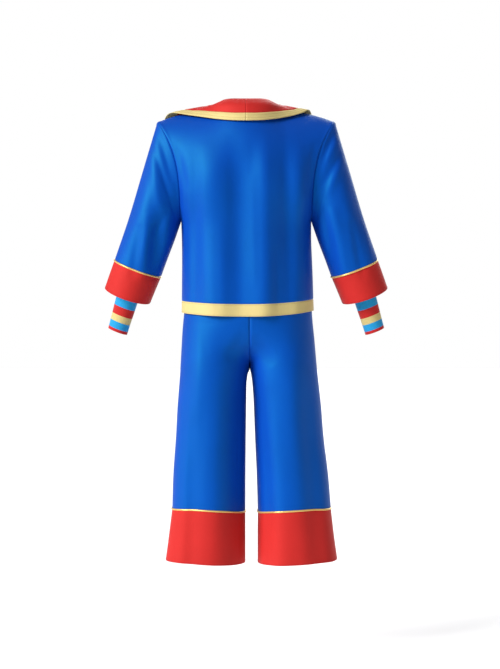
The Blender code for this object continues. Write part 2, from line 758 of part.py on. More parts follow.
def collar_grids(side, body_tree):
    """Red fall and yellow band of half the collar, as rows along it and points across it."""
    lines = []
    floors = []
    corners, corner_shares = neckline(side)
    edge = collar_edge(side)
    edge_run = unit(np.gradient(edge, axis=0))
    for station, share in enumerate(station_shares()):
        rise_out, rise_up, _, _, _, _, clearance = collar_values(share)
        neck = np.array([np.interp(share, corner_shares, corners[:, axis]) for axis in range(3)])
        outer = edge[station]
        away = unit(np.array((neck[0], neck[1], 0.0)))
        rise = away * rise_out + np.array((0.0, 0.0, rise_up))
        nearest = body_tree.find_nearest(Vector(neck + COLLAR_PROBE * unit(outer - neck)))
        body_normal = np.array(nearest[1])
        spread = unit((outer - neck) - body_normal * float(np.dot(outer - neck, body_normal)))
        height = max(float(np.linalg.norm(rise)) * COLLAR_ROLL_SHARE, clearance)
        line = [neck + unit(rise) * COLLAR_SEAT - spread * CLOTH * 0.5]
        line.append(neck + rise - spread * CLOTH * 0.5)
        width = float(np.linalg.norm(outer - neck))
        slant = float(np.linalg.norm(np.cross(unit(outer - neck), edge_run[station])))
        seam_share = 1.0 - min(COLLAR_BAND_WIDTH / (width * slant), COLLAR_WIDEST_BAND_SHARE)
        shares = [part * seam_share for part in COLLAR_FALL_SHARES] + [seam_share, 1.0]
        for part in shares:
            guess = neck + (outer - neck) * part
            place, normal, _, _ = body_tree.find_nearest(Vector(guess))
            lift = clearance + (height - clearance) * (1.0 - part) ** COLLAR_ROLL_POWER + CLOTH
            line.append(np.array(place) + np.array(normal) * lift)
        if station == 0:
            for point in line:
                point[0] = 0.0
        lines.append(line)
        floors.append(clearance + CLOTH)
    lines = parted_at_front(relaxed(np.array(lines), floors, body_tree), side)
    return lines[:, :-1], lines[:, -2:]


def collar_patches(side, word, body_tree):
    """Collar half and its edge band, with the centre-back seam first."""
    red, band = collar_grids(side, body_tree)
    below = np.array([(0.0, 0.0, row[:, 2].mean() - COLLAR_CORE_DROP) for row in red])
    collar = Patch("collar_" + word, "red_cloth", red, below)
    collar.part_from_neighbours(("top", "last"))
    edge = Patch("collar_band_" + word, "yellow_cloth", band, below)
    edge.part_from_neighbours(("top", "first"))
    return collar, edge


# Trousers

def leg_tilt(z, sine, cosine):
    """How far the leg's lower seam and hem lie above a level: low inside, high outside and behind."""
    strength = smooth_step((LEG_TILT_TOP_Z - z) / LEG_TILT_REACH)
    rise = LEG_SEAM_RISE + (LEG_HEM_RISE - LEG_SEAM_RISE) * smooth_step((LEG_SEAM_Z - z) / LEG_CUFF_HEIGHT)
    return strength * (rise * max(-sine, 0.0) ** 2 - LEG_TILT * cosine)


def leg_point(level, side, share):
    """A point of a leg's level: share 0 at centre front, round the outside, 1 at centre back."""
    _, z, left_outer, left_inner, right_inner, right_outer, back, front, closing = level
    outer = left_outer if side > 0 else right_outer
    inner = left_inner if side > 0 else right_inner
    open_angle = math.pi * share
    sine = math.sin(open_angle) ** (2.0 / ROUNDNESS) if 0.0 < share < 1.0 else 0.0
    cosine = signed_power(math.cos(open_angle), 2.0 / ROUNDNESS)
    depth = back if cosine < 0.0 else front
    open_point = np.array((CROTCH_X + (outer - CROTCH_X) * sine, -depth * cosine, z))
    round_angle = 2.0 * math.pi * share
    if share in (0.0, 1.0):
        round_angle = 0.0
    sine = signed_power(math.sin(round_angle), 2.0 / ROUNDNESS)
    cosine = signed_power(math.cos(round_angle), 2.0 / ROUNDNESS)
    centre = 0.5 * (outer + inner)
    half = 0.5 * (outer - inner)
    depth = front if sine > 0.0 else back
    closed_point = np.array((centre - half * cosine, -depth * sine, z))
    point = open_point * (1.0 - closing) + closed_point * closing
    away = unit(np.array((point[0] - centre, point[1], 0.0)))
    move = 0.0
    for middle, half_width, height, top, fold_side in LEG_FOLDS:
        if fold_side == side:
            strength = smooth_step((top - z) / LEG_FOLD_EASE)
            move += height * strength * soft_bump(math.degrees(round_angle) - middle, half_width)
    return point + away * move + np.array((0.0, 0.0, leg_tilt(z, sine, cosine)))


def leg_grid(levels, side):
    """Rows of points for a leg or its cuff, top row first."""
    grid = []
    for level in levels:
        grid.append([leg_point(level, side, column / LEG_COLUMNS) for column in range(LEG_COLUMNS + 1)])
    return np.array(grid)


def leg_cores(levels, side):
    """Core points inside the leg, a row each."""
    cores = []
    for level in levels:
        outer = level[2] if side > 0 else level[5]
        cores.append((0.5 * outer, 0.0, level[1]))
    return cores


def leg_patches(side, word):
    """Leg and leg cuff of one side."""
    grid = leg_grid(TROUSER_LEVELS, side)
    cores = leg_cores(TROUSER_LEVELS, side)
    leg = Patch("trouser_leg_" + word, "blue_cloth", grid, cores, join_row=CROTCH_ROW)
    leg.part_from_neighbours(("top", "bottom"))
    for row in range(CROTCH_ROW + 1):
        leg.shift[row, 0, 0] += side * HALF_GAP
        leg.shift[row, -1, 0] += side * HALF_GAP
    grid = leg_grid(LEG_CUFF_LEVELS, side)
    cores = leg_cores(LEG_CUFF_LEVELS, side)
    cuff = Patch("trouser_cuff_" + word, "red_cloth", grid, cores, join_row=0)
    cuff.part_from_neighbours(("top",))
    return leg, cuff


def waistband_patch(left_leg, right_leg):
    """Plain band above the legs, one ring all round."""
    left = left_leg.points[0]
    right = right_leg.points[0]
    ring = np.concatenate([left, right[::-1][1:-1]])
    centre = np.array((CROTCH_X, 0.0, 0.0))
    top = centre + (ring - centre) * np.array((WAISTBAND_TOP_SCALE, WAISTBAND_TOP_SCALE, 1.0))
    top[:, 2] = WAISTBAND_TOP_Z
    grid = np.array([top, ring])
    band = Patch("waistband", "blue_cloth", grid, grid.mean(axis=1), closed=True)
    band.part_from_neighbours(("bottom",))
    return band


def body_surface(patches):
    """A search tree over the jacket body's outer skin."""
    vertices = []
    faces = []
    for patch in patches:
        for cell in patch.quads():
            start = len(vertices)
            vertices.extend(Vector(patch.points[key]) for key in cell)
            faces.append((start, start + 1, start + 2, start + 3))
    return BVHTree.FromPolygons(vertices, faces)


def make_materials():
    """One Principled material for each finish."""
    made = {}
    for name, (colour, roughness) in MATERIALS.items():
        material = bpy.data.materials.new(name)
        material.use_nodes = True
        shader = material.node_tree.nodes["Principled BSDF"]
        shader.inputs["Base Color"].default_value = colour
        shader.inputs["Roughness"].default_value = roughness
        shader.inputs["Metallic"].default_value = PIPING_METALLIC if name == "gold_piping" else 0.0
        material.diffuse_color = colour
        made[name] = material
    return made


def main():
    for old in list(bpy.data.objects):
        bpy.data.objects.remove(old)
    collection = bpy.data.collections.new("clown_costume")
    bpy.context.scene.collection.children.link(collection)
    materials = make_materials()

    jacket = jacket_patches()
    skin = list(jacket.values())
    sleeves = {}
    for side, word in ((1, "left"), (-1, "right")):
        sleeves[word] = sleeve_patches(side, word)
        skin.extend(sleeves[word])
    share_normals(list(jacket.values()))
    share_normals([piece for pair in sleeves.values() for piece in pair])
    own_normals = {patch.name: patch.normals.copy() for patch in skin}
    share_normals(skin)
    part_underarms(jacket, sleeves, own_normals)
    match_shoulder_normals(jacket, sleeves)
    body = [jacket[name] for name in ("jacket_back", "jacket_front_left", "jacket_front_right")]
    body_tree = body_surface(body)

    collar = []
    for side, word in ((1, "left"), (-1, "right")):
        collar.extend(collar_patches(side, word, body_tree))
    share_normals(collar)

    legs = {}
    for side, word in ((1, "left"), (-1, "right")):
        legs[word] = leg_patches(side, word)
    waistband = waistband_patch(legs["left"][0], legs["right"][0])
    trousers = [piece for pair in legs.values() for piece in pair] + [waistband]
    share_normals(trousers)

    undersleeves = [undersleeve_patch(1, "left"), undersleeve_patch(-1, "right")]
    share_normals(undersleeves)

    for patch in skin + collar + trousers + undersleeves:
        make_wall(patch, collection, materials)
    for word in ("left", "right"):
        make_piping("sleeve_piping_" + word, sleeves[word][1], 0, collection, materials)
        make_piping("trouser_piping_" + word, legs[word][1], 0, collection, materials)


main()
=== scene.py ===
"""Looks of the clown costume: cloth shells, piping, stitching, finishes, stage, light and camera."""

import math

import bpy
import numpy as np
from bpy.props import FloatProperty, FloatVectorProperty, PointerProperty
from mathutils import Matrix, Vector
from mathutils.bvhtree import BVHTree


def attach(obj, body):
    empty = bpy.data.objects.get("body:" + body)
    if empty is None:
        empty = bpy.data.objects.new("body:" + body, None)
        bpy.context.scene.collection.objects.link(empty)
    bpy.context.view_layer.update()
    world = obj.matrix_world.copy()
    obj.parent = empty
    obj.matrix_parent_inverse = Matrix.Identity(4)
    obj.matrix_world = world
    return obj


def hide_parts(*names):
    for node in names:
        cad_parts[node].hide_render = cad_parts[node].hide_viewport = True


bl_info = {
    "name": "Clown costume cloth",
    "version": (1, 0, 0),
    "blender": (4, 5, 0),
    "location": "View3D > Sidebar > Costume",
    "description": "Cloth, trims and stage of a worn clown costume",
    "category": "Object",
}

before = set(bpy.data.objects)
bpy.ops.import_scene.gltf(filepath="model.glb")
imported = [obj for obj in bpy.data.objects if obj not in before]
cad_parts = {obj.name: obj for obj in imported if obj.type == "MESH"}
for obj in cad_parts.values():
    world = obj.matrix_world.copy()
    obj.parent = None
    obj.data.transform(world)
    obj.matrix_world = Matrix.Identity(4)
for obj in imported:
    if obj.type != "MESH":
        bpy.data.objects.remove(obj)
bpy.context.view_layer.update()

# Grid of the shells: steps across half a body panel, up the body, round a sleeve and round a leg
BODY_STEPS = 56
BODY_ROWS = 96
SLEEVE_STEPS = 96
SLEEVE_ROWS = 72
CUFF_ROWS = 16
LEG_STEPS = 132
LEG_ROWS = 130
LEG_CUFF_ROWS = 26
BAND_ROWS = 8
COLLAR_STEPS = 64
COLLAR_ROWS = 18
UNDERSLEEVE_STEPS = 56
UNDERSLEEVE_ROWS = 64
ROUNDNESS = 2.3
# Rough lengths of the shells, which set how close the rows beside their sewn edges lie
HALF_PANEL_WIDTH = 0.27
YOKE_HEIGHT = 0.32
HEM_BAND_HEIGHT = 0.033
SLEEVE_LENGTH = 0.30
CUFF_LENGTH = 0.078
COLLAR_LENGTH = 0.42
WAISTBAND_HEIGHT = 0.038

# Jacket body, a row for each level: height, centre x, half width, back depth, front depth
JACKET_LEVELS = (
    (-0.5880, -0.0045, 0.1880, 0.1310, 0.1340),
    (-0.5550, -0.0040, 0.1872, 0.1300, 0.1330),
    (-0.5000, -0.0035, 0.1862, 0.1285, 0.1310),
    (-0.4400, -0.0025, 0.1850, 0.1270, 0.1290),
    (-0.3850, -0.0010, 0.1842, 0.1260, 0.1275),
    (-0.3280, 0.0000, 0.1850, 0.1250, 0.1265),
)
HEM_SEAM_Z = JACKET_LEVELS[1][0]
HEM_DIP = 0.010
HEM_DIP_REACH = 0.20
HEM_DIP_TOP_Z = -0.40
HEM_RISE = 0.006

# Armhole, neckline and shoulder
ARMHOLE_BOTTOM_Z = JACKET_LEVELS[-1][0]
SHOULDER_TIP = (0.2530, 0.0, -0.0470)
SHOULDER_CROWN = 0.0060
SHOULDER_CROWN_LEAN = 1.6
ARMHOLE_HALF_DEPTH = 0.0720
NECK_POINT = (0.0780, 0.0, -0.0040)
NECK_BACK = (0.0, 0.0620, -0.0200)
NECK_SHARE = 0.4
VEE_SHARE = 0.4
VEE_BOTTOM = (0.0, -0.1290, -0.2050)
# How the yoke's form fades below the neck and shoulder edges: its power, its easing and where that ends
TOP_PULL = 2.0
TOP_EASE = 0.30
TOP_HOLD = 8.0
TOP_EASE_STEPS = (-1.0, -0.6, -0.2, 0.2, 0.6, 1.0)

# Large folds of the jacket body: centre x, half width, height, top z
BACK_FOLDS = (
    (0.140, 0.030, -0.0020, -0.10),
    (0.086, 0.048, 0.0050, -0.09),
    (0.015, 0.045, -0.0060, -0.11),
    (-0.050, 0.040, 0.0055, -0.08),
    (-0.112, 0.035, -0.0050, -0.10),
)
FRONT_FOLDS = (
    (0.110, 0.035, -0.0045, -0.20),
    (0.060, 0.035, 0.0050, -0.22),
    (-0.055, 0.038, 0.0045, -0.22),
    (-0.105, 0.035, -0.0050, -0.18),
)
FOLD_EASE = 0.12
FOLD_FREE_X = 0.172
FOLD_FADE = 0.030

# Sleeve and cuff stations: share, outer x, outer z, inner x, inner z, half depth, centre y, back dip
SLEEVE_STATIONS = (
    (0.00, 0.2530, -0.0470, 0.1850, -0.3280, 0.0720, 0.000, 0.000),
    (0.35, 0.2930, -0.1830, 0.2040, -0.3840, 0.0740, 0.004, 0.002),
    (0.70, 0.3340, -0.3200, 0.2250, -0.4390, 0.0710, 0.002, 0.005),
    (1.00, 0.3750, -0.4385, 0.2430, -0.4875, 0.0660, -0.004, 0.008),
)
CUFF_STATIONS = (
    (0.00,) + SLEEVE_STATIONS[-1][1:],
    (0.50, 0.3895, -0.4775, 0.2585, -0.5240, 0.0668, -0.008, 0.011),
    (1.00, 0.4035, -0.5170, 0.2740, -0.5610, 0.0670, -0.012, 0.014),
)
ARMHOLE_SETTLE = 0.125
# Sleeve folds: angle from the underarm in degrees, half width in degrees, height, from share, to share
SLEEVE_FOLDS = (
    (62.0, 34.0, -0.0050, 0.25, 1.05),
    (118.0, 30.0, 0.0035, 0.15, 0.95),
    (250.0, 34.0, -0.0045, 0.20, 1.00),
    (300.0, 30.0, 0.0035, 0.30, 1.00),
)

# Undersleeve stations: centre x, centre y, centre z, half width, half depth
UNDERSLEEVE_STATIONS = (
    (0.3105, -0.0050, -0.4675, 0.0664, 0.0630),
    (0.3185, -0.0065, -0.4870, 0.0480, 0.0440),
    (0.3290, -0.0090, -0.5150, 0.0355, 0.0325),
    (0.3400, -0.0115, -0.5490, 0.0322, 0.0300),
    (0.3490, -0.0140, -0.5790, 0.0310, 0.0285),
    (0.3590, -0.0170, -0.6120, 0.0296, 0.0268),
    (0.3680, -0.0200, -0.6420, 0.0288, 0.0258),
)
UNDERSLEEVE_TILT = math.radians(21.0)
UNDERSLEEVE_DIP = 0.10

# Collar stations: share, rise outwards, rise upwards, outer x, y and z, lean to the left, clearance
COLLAR_TABLE = (
    (0.00, -0.006, 0.0360, 0.000, 0.1010, -0.0524, 0.00, 0.0065),
    (0.08, -0.006, 0.0358, 0.034, 0.0985, -0.0524, 0.00, 0.0065),
    (0.17, -0.006, 0.0350, 0.067, 0.0810, -0.0490, 0.00, 0.0065),
    (0.33, -0.006, 0.0290, 0.130, 0.0410, -0.0370, 0.03, 0.0065),
    (0.50, -0.004, 0.0180, 0.198, 0.0020, -0.0300, 0.10, 0.0125),
    (0.57, -0.001, 0.0150, 0.2145, -0.0300, -0.0500, 0.13, 0.0170),
    (0.66, 0.002, 0.0110, 0.2005, -0.0760, -0.0880, 0.10, 0.0095),
    (0.78, 0.006, 0.0050, 0.145, -0.1130, -0.1500, 0.07, 0.0055),
    (0.90, 0.006, 0.0030, 0.072, -0.1300, -0.2130, 0.05, 0.0055),
    (1.00, 0.006, 0.0020, 0.010, -0.1300, -0.2450, 0.00, 0.0055),
)
COLLAR_TURN = 0.5
COLLAR_BAND_WIDTH = 0.026
COLLAR_WIDEST_BAND_SHARE = 0.6
COLLAR_FRONT_CLEAR = 0.0024
COLLAR_RELAX_PASSES = 24
# The stand: shares of its rise, the share of it that lifts the fall, and how it is seated on the neck edge
COLLAR_STAND_PARTS = (0.0, 0.35, 0.7, 0.93)
COLLAR_STAND_LIFT = 0.8
COLLAR_LIFT_POWER = 1.5
COLLAR_SEAT_REACH = 0.01
COLLAR_SEAT_BACK = 0.0010
COLLAR_FIRST_PART = 0.06

# Trousers: height, left outer, left inner, right inner, right outer, back, front, closing
CROTCH_X = -0.0105
CROTCH_Z = -0.7460
TROUSER_LEVELS = (
    (-0.4700, 0.1560, CROTCH_X, CROTCH_X, -0.1700, 0.1100, 0.1080, 0.00),
    (-0.5200, 0.1700, CROTCH_X, CROTCH_X, -0.1820, 0.1160, 0.1120, 0.00),
    (-0.5800, 0.1755, CROTCH_X, CROTCH_X, -0.1864, 0.1220, 0.1150, 0.00),
    (-0.6300, 0.1805, CROTCH_X, CROTCH_X, -0.1905, 0.1240, 0.1160, 0.05),
    (-0.6800, 0.1840, CROTCH_X, CROTCH_X, -0.1965, 0.1270, 0.1200, 0.24),
    (-0.7200, 0.1855, CROTCH_X, CROTCH_X, -0.1985, 0.1270, 0.1220, 0.58),
    (-0.7460, 0.1862, CROTCH_X, CROTCH_X, -0.1995, 0.1175, 0.1130, 1.00),
    (-0.7700, 0.1875, -0.0015, -0.0155, -0.2035, 0.1140, 0.1100, 1.00),
    (-0.8300, 0.1925, -0.0003, -0.0205, -0.2110, 0.1110, 0.1080, 1.00),
    (-0.9400, 0.1985, 0.0010, -0.0250, -0.2200, 0.1070, 0.1050, 1.00),
    (-1.0500, 0.2060, 0.0020, -0.0300, -0.2330, 0.1040, 0.1030, 1.00),
    (-1.1480, 0.2090, 0.0023, -0.0330, -0.2410, 0.1020, 0.1015, 1.00),
)
LEG_SEAM_Z = TROUSER_LEVELS[-1][0]
LEG_CUFF_HEIGHT = 0.1435
LEG_TILT = 0.005
LEG_TILT_TOP_Z = -0.95
LEG_TILT_REACH = 0.198
LEG_SEAM_RISE = 0.010
LEG_HEM_RISE = 0.003
LEG_CUFF_LEVELS = (
    TROUSER_LEVELS[-1],
    (-1.2200, 0.2180, 0.0023, -0.0325, -0.2490, 0.1030, 0.1025, 1.00),
    (-1.2915, 0.2275, 0.0023, -0.0325, -0.2590, 0.1050, 0.1040, 1.00),
)
WAISTBAND_TOP_Z = -0.4320
WAISTBAND_TOP_SCALE = 0.975
# Leg folds: angle round the leg in degrees, half width in degrees, height, top z, and the leg's side
LEG_FOLDS = (
    (205.0, 26.0, 0.0045, -0.66, 1),
    (255.0, 26.0, -0.0050, -0.74, 1),
    (100.0, 28.0, -0.0045, -0.70, 1),
    (150.0, 26.0, 0.0040, -0.72, 1),
    (295.0, 24.0, 0.0050, -0.74, -1),
    (240.0, 28.0, -0.0050, -0.70, -1),
    (70.0, 26.0, -0.0045, -0.74, -1),
    (130.0, 28.0, 0.0045, -0.68, -1),
)
LEG_FOLD_EASE = 0.20
# How the leg is faired across the crotch level: reach up and down, and how it fades towards the seams
CROTCH_FAIR_REACH = 0.130
CROTCH_FAIR_POWER = 0.6
CROTCH_FAIR_PASSES = 150

# Creases in millimetres: face (+1 back, -1 front), start x, start z, end x, end z, half width, height
CREASES = {
    "jacket": (
        (1, 176, -215, 174, -560, 5, 1.2),
        (1, 196, -120, 165, -250, 12, -2.6),
        (1, -196, -110, -168, -260, 12, -2.6),
        (1, 118, -110, 96, -680, 26, 3.4),
        (1, 34, -80, 22, -590, 26, -4),
        (1, -52, -70, -60, -640, 22, 3),
        (1, -108, -60, -122, -560, 20, -3.8),
        (1, -150, -110, -160, -560, 14, 2),
        (1, 140, -260, 146, -640, 14, -1.6),
        (1, 70, -330, 64, -640, 12, 1.4),
        (1, -16, -200, -22, -520, 10, 1.4),
        (1, -86, -400, -90, -660, 14, -2.6),
        (-1, 186, -130, 140, -270, 12, -3),
        (-1, -186, -140, -135, -290, 12, -3),
        (-1, 30, -250, 36, -600, 9, -2),
        (-1, -22, -280, -26, -600, 8, 1.8),
        (-1, 145, -300, 150, -600, 8, 2),
        (-1, -140, -260, -146, -600, 10, -2),
        (-1, 160, -330, 90, -400, 10, -1.8),
    ),
    "sleeve_left": (
        (1, 246, -85, 206, -225, 9, -3.4),
        (1, 262, -120, 214, -262, 9, -3),
        (1, 272, -120, 238, -310, 13, 3),
        (1, 240, -290, 262, -500, 19, -7),
        (1, 276, -310, 292, -500, 12, 3.4),
        (1, 300, -340, 322, -500, 12, -3),
        (1, 214, -300, 258, -372, 10, -3),
        (-1, 236, -80, 200, -220, 9, -3),
        (-1, 210, -270, 262, -330, 10, -3.5),
        (-1, 218, -310, 276, -352, 9, 2.8),
        (-1, 300, -340, 322, -455, 11, -3),
        (-1, 262, -380, 272, -470, 10, -2.6),
    ),
    "sleeve_right": (
        (1, -246, -72, -204, -200, 9, -3.6),
        (1, -262, -92, -206, -192, 9, 3.4),
        (1, -266, -140, -208, -240, 10, -3.4),
        (1, -276, -150, -226, -262, 11, 2.8),
        (1, -240, -290, -284, -500, 15, 5),
        (1, -214, -290, -248, -500, 14, -5.2),
        (1, -296, -325, -330, -500, 12, -3.6),
        (1, -330, -330, -356, -470, 10, 2.2),
        (-1, -234, -85, -198, -210, 9, -3),
        (-1, -212, -290, -270, -336, 10, -3.4),
        (-1, -222, -325, -280, -362, 9, 2.6),
        (-1, -298, -350, -316, -450, 11, -2.8),
    ),
    "trousers": (
        (1, 0, -640, 52, -720, 16, -2.4),
        (1, -24, -650, -74, -735, 16, -2.4),
        (1, 26, -680, 10, -1340, 40, -9.5),
        (1, 108, -620, 102, -1340, 40, 4.6),
        (1, 154, -880, 156, -1340, 18, -2.2),
        (1, 128, -590, 134, -1020, 14, 1.4),
        (1, -116, -600, -130, -1340, 34, 6),
        (1, -64, -790, -68, -1340, 24, -3.6),
        (1, -178, -620, -204, -1340, 30, -4),
        (1, -42, -980, -48, -1340, 14, 1.6),
        (-1, 20, -650, 90, -700, 12, -3.2),
        (-1, -40, -640, -105, -700, 12, -3.2),
        (-1, 74, -700, 80, -1340, 32, 5),
        (-1, 128, -680, 140, -1340, 28, -4.6),
        (-1, -80, -700, -104, -1340, 30, -4.8),
        (-1, -140, -680, -166, -1340, 28, 4.4),
        (-1, 30, -900, 24, -1340, 22, -4),
        (-1, -186, -820, -210, -1340, 18, -2.2),
    ),
}
CREASE_TAPER = 0.55
CREASE_FACING = 2.5
CREASE_FADE = 0.022
# How the body is faired before its folds: where that ends below, the eased reach at the top edge and how far
# the side edges stay put
FAIR_BOTTOM_Z = -0.470
FAIR_BOTTOM_EASE = 0.06
FAIR_TOP_REACH = 0.050
FAIR_EDGE_POWER = 8
FAIR_PASSES = 120

# Seams, stitches and trims
CLOTH = 0.0011
SEAM_DIP = 0.0009
SEAM_WIDTH = 0.0022
PUFF_REACH = 0.0045
PUFF_RISE = 0.012
EDGE_STEPS = (0.0012, 0.0035)
STITCH_LIFT = 0.00022
PIPING_RADIUS = 0.0026
PIPING_LIFT = 0.0011
BINDING_RADIUS = 0.0013
BINDING_DEPTH = 0.0028

# Sides of the costume, points inside it that its shells face away from, and the name of the UV map on each cloth
SIDES = ((1, "left"), (-1, "right"))
JACKET_CORE = np.array((0.0, 0.0, -0.30))
AXIS_DROP = 0.10
AXIS_TOP_Z = -0.15
LEG_CORE_X = 0.09
LEG_CORE_Z = -0.75
CLOTH_MAP = "cloth_metres"
# The length over which a wave texture of scale 1 repeats
WAVE_PERIOD = 2.0 * math.pi / 20.0

# Stage: floor, lamps (name, direction, share of the key light, softness in degrees) and the camera's frame
FLOOR_SIZE = 30.0
LAMPS = (("key", (0.84, 0.52, 0.50), 1.0, 26.0), ("front", (-0.25, -0.80, 0.45), 0.55, 40.0))
SENSOR_WIDTH = 36.0
PIXELS_WIDE = 500.0
PIXELS_HIGH = 669.0
FOCAL_PIXELS = 1404.0
HORIZON_PIXEL = 292.0
BODY_PIXEL = 246.2


def smooth_step(value):
    """Ease from 0 to 1 with flat ends."""
    share = min(max(value, 0.0), 1.0)
    return share * share * (3.0 - 2.0 * share)


def soft_bump(distance, half_width):
    """A cosine hump, 1 in the middle and 0 from the half width out."""
    if abs(distance) >= half_width:
        return 0.0
    return 0.5 + 0.5 * math.cos(math.pi * distance / half_width)


def signed_power(value, power):
    """Power of the size of a value, with its sign kept."""
    return math.copysign(abs(value) ** power, value)


def rounded(angle):
    """Sine and cosine of an angle on a rounded square, between a circle and a box."""
    return signed_power(math.sin(angle), 2.0 / ROUNDNESS), signed_power(math.cos(angle), 2.0 / ROUNDNESS)


def unit(vectors):
    """Vectors of length one, along the last axis."""
    vectors = np.asarray(vectors, dtype=float)
    lengths = np.linalg.norm(vectors, axis=-1, keepdims=True)
    return vectors / np.maximum(lengths, 1e-12)


class Curve:
    """A smooth curve through the rows of a table, read by its key column."""

    def __init__(self, table, key=0):
        rows = sorted((tuple(float(value) for value in row) for row in table), key=lambda row: row[key])
        data = np.array(rows)
        self.keys = data[:, key]
        self.values = np.delete(data, key, axis=1)
        slopes = np.zeros_like(self.values)
        steps = np.diff(self.keys)[:, None]
        secants = np.diff(self.values, axis=0) / steps
        slopes[0] = secants[0]
        slopes[-1] = secants[-1]
        before = secants[:-1]
        after = secants[1:]
        same = before * after > 0.0
        harmonic = 2.0 * before * after / np.where(same, before + after, 1.0)
        slopes[1:-1] = np.where(same, harmonic, 0.0)
        self.slopes = slopes

    def at(self, key):
        """The table's other columns at a key."""
        key = min(max(key, self.keys[0]), self.keys[-1])
        index = min(int(np.searchsorted(self.keys, key, side="right")) - 1, len(self.keys) - 2)
        width = self.keys[index + 1] - self.keys[index]
        part = (key - self.keys[index]) / width
        square = part * part
        cube = square * part
        start = self.values[index]
        end = self.values[index + 1]
        return ((2 * cube - 3 * square + 1) * start + (cube - 2 * square + part) * width * self.slopes[index]
                + (3 * square - 2 * cube) * end + (cube - square) * width * self.slopes[index + 1])


JACKET_CURVE = Curve(JACKET_LEVELS)
SLEEVE_CURVE = Curve(SLEEVE_STATIONS)
CUFF_CURVE = Curve(CUFF_STATIONS)
TROUSER_CURVE = Curve(TROUSER_LEVELS)
LEG_CUFF_CURVE = Curve(LEG_CUFF_LEVELS)
COLLAR_CURVE = Curve(COLLAR_TABLE)
UNDERSLEEVE_CURVE = Curve([(-row[2],) + row for row in UNDERSLEEVE_STATIONS])


def stops(count, length, first=True, last=True):
    """Shares from 0 to 1 in even steps, with extra ones close to the sewn ends."""
    shares = list(np.linspace(0.0, 1.0, count + 1))
    for step in EDGE_STEPS:
        if first:
            shares.append(step / length)
        if last:
            shares.append(1.0 - step / length)
    kept = [0.0]
    for share in sorted(shares):
        if share - kept[-1] > 0.0004 / length:
            kept.append(float(share))
    kept[-1] = 1.0
    return kept


# Jacket body

def jacket_fold(x, y, z):
    """How far the large folds move a point of the jacket's body outwards."""
    table = BACK_FOLDS if y > 0.0 else FRONT_FOLDS
    free = smooth_step((FOLD_FREE_X - abs(x)) / FOLD_FADE)
    total = 0.0
    for centre, half_width, height, top in table:
        total += height * smooth_step((top - z) / FOLD_EASE) * soft_bump(x - centre, half_width)
    return total * free


def folded(grid):
    """A grid of the jacket's body with its folds added, straight back or straight forward."""
    return np.array([[(x, y + math.copysign(1.0, y) * jacket_fold(x, y, z), z) for x, y, z in row] for row in grid])


def jacket_section(z, angle):
    """A point of the body at a height: 0 is centre back, 90 degrees the left side, 180 centre front."""
    centre, half_width, back, front = JACKET_CURVE.at(z)
    sine, cosine = rounded(angle)
    depth = back if cosine > 0.0 else front
    dip = HEM_DIP * max(cosine, 0.0) ** 2 - HEM_RISE * max(-sine, 0.0) ** 2
    dip *= smooth_step((HEM_DIP_TOP_Z - z) / HEM_DIP_REACH)
    return np.array((centre + half_width * sine, depth * cosine, z - dip))


def armhole(share, side, face):
    """A point of the armhole, 0 at the underarm and 1 at the shoulder tip."""
    angle = math.pi * share
    half = 0.5 * (SHOULDER_TIP[2] - ARMHOLE_BOTTOM_Z)
    z = ARMHOLE_BOTTOM_Z + half * (1.0 - math.cos(angle))
    height = (z - ARMHOLE_BOTTOM_Z) / (2.0 * half)
    narrow = JACKET_LEVELS[-1][2]
    x = narrow + (SHOULDER_TIP[0] - narrow) * height ** 3
    return np.array((side * x, face * ARMHOLE_HALF_DEPTH * math.sin(angle), z))


def shoulder_seam(share, side):
    """A point of the shoulder seam, 0 at the neck and 1 at the tip."""
    point = np.array(NECK_POINT) + (np.array(SHOULDER_TIP) - np.array(NECK_POINT)) * share
    point[2] += SHOULDER_CROWN * math.sin(math.pi * share ** SHOULDER_CROWN_LEAN)
    return point * np.array((side, 1.0, 1.0))


def back_neckline(share, side):
    """A point of the back neckline, 0 at centre back and 1 at the neck point."""
    angle = 0.5 * math.pi * share
    x = side * NECK_POINT[0] * math.sin(angle)
    z = NECK_BACK[2] + (NECK_POINT[2] - NECK_BACK[2]) * (1.0 - math.cos(angle))
    return np.array((x, NECK_BACK[1] * math.cos(angle), z))


def front_neckline(share, side):
    """A point of the front edge above the closing, 0 at the closing and 1 at the neck point."""
    y = VEE_BOTTOM[1] * max(1.0 - share ** 2.5, 0.0) ** (1.0 / 1.5)
    z = VEE_BOTTOM[2] + (NECK_POINT[2] - VEE_BOTTOM[2]) * share
    return np.array((side * NECK_POINT[0] * share ** 0.9, y, z))


def body_angle(across, side, face):
    """The angle round the body of a half panel's column."""
    angle = 0.5 * math.pi * across
    return side * (angle if face > 0 else math.pi - angle)


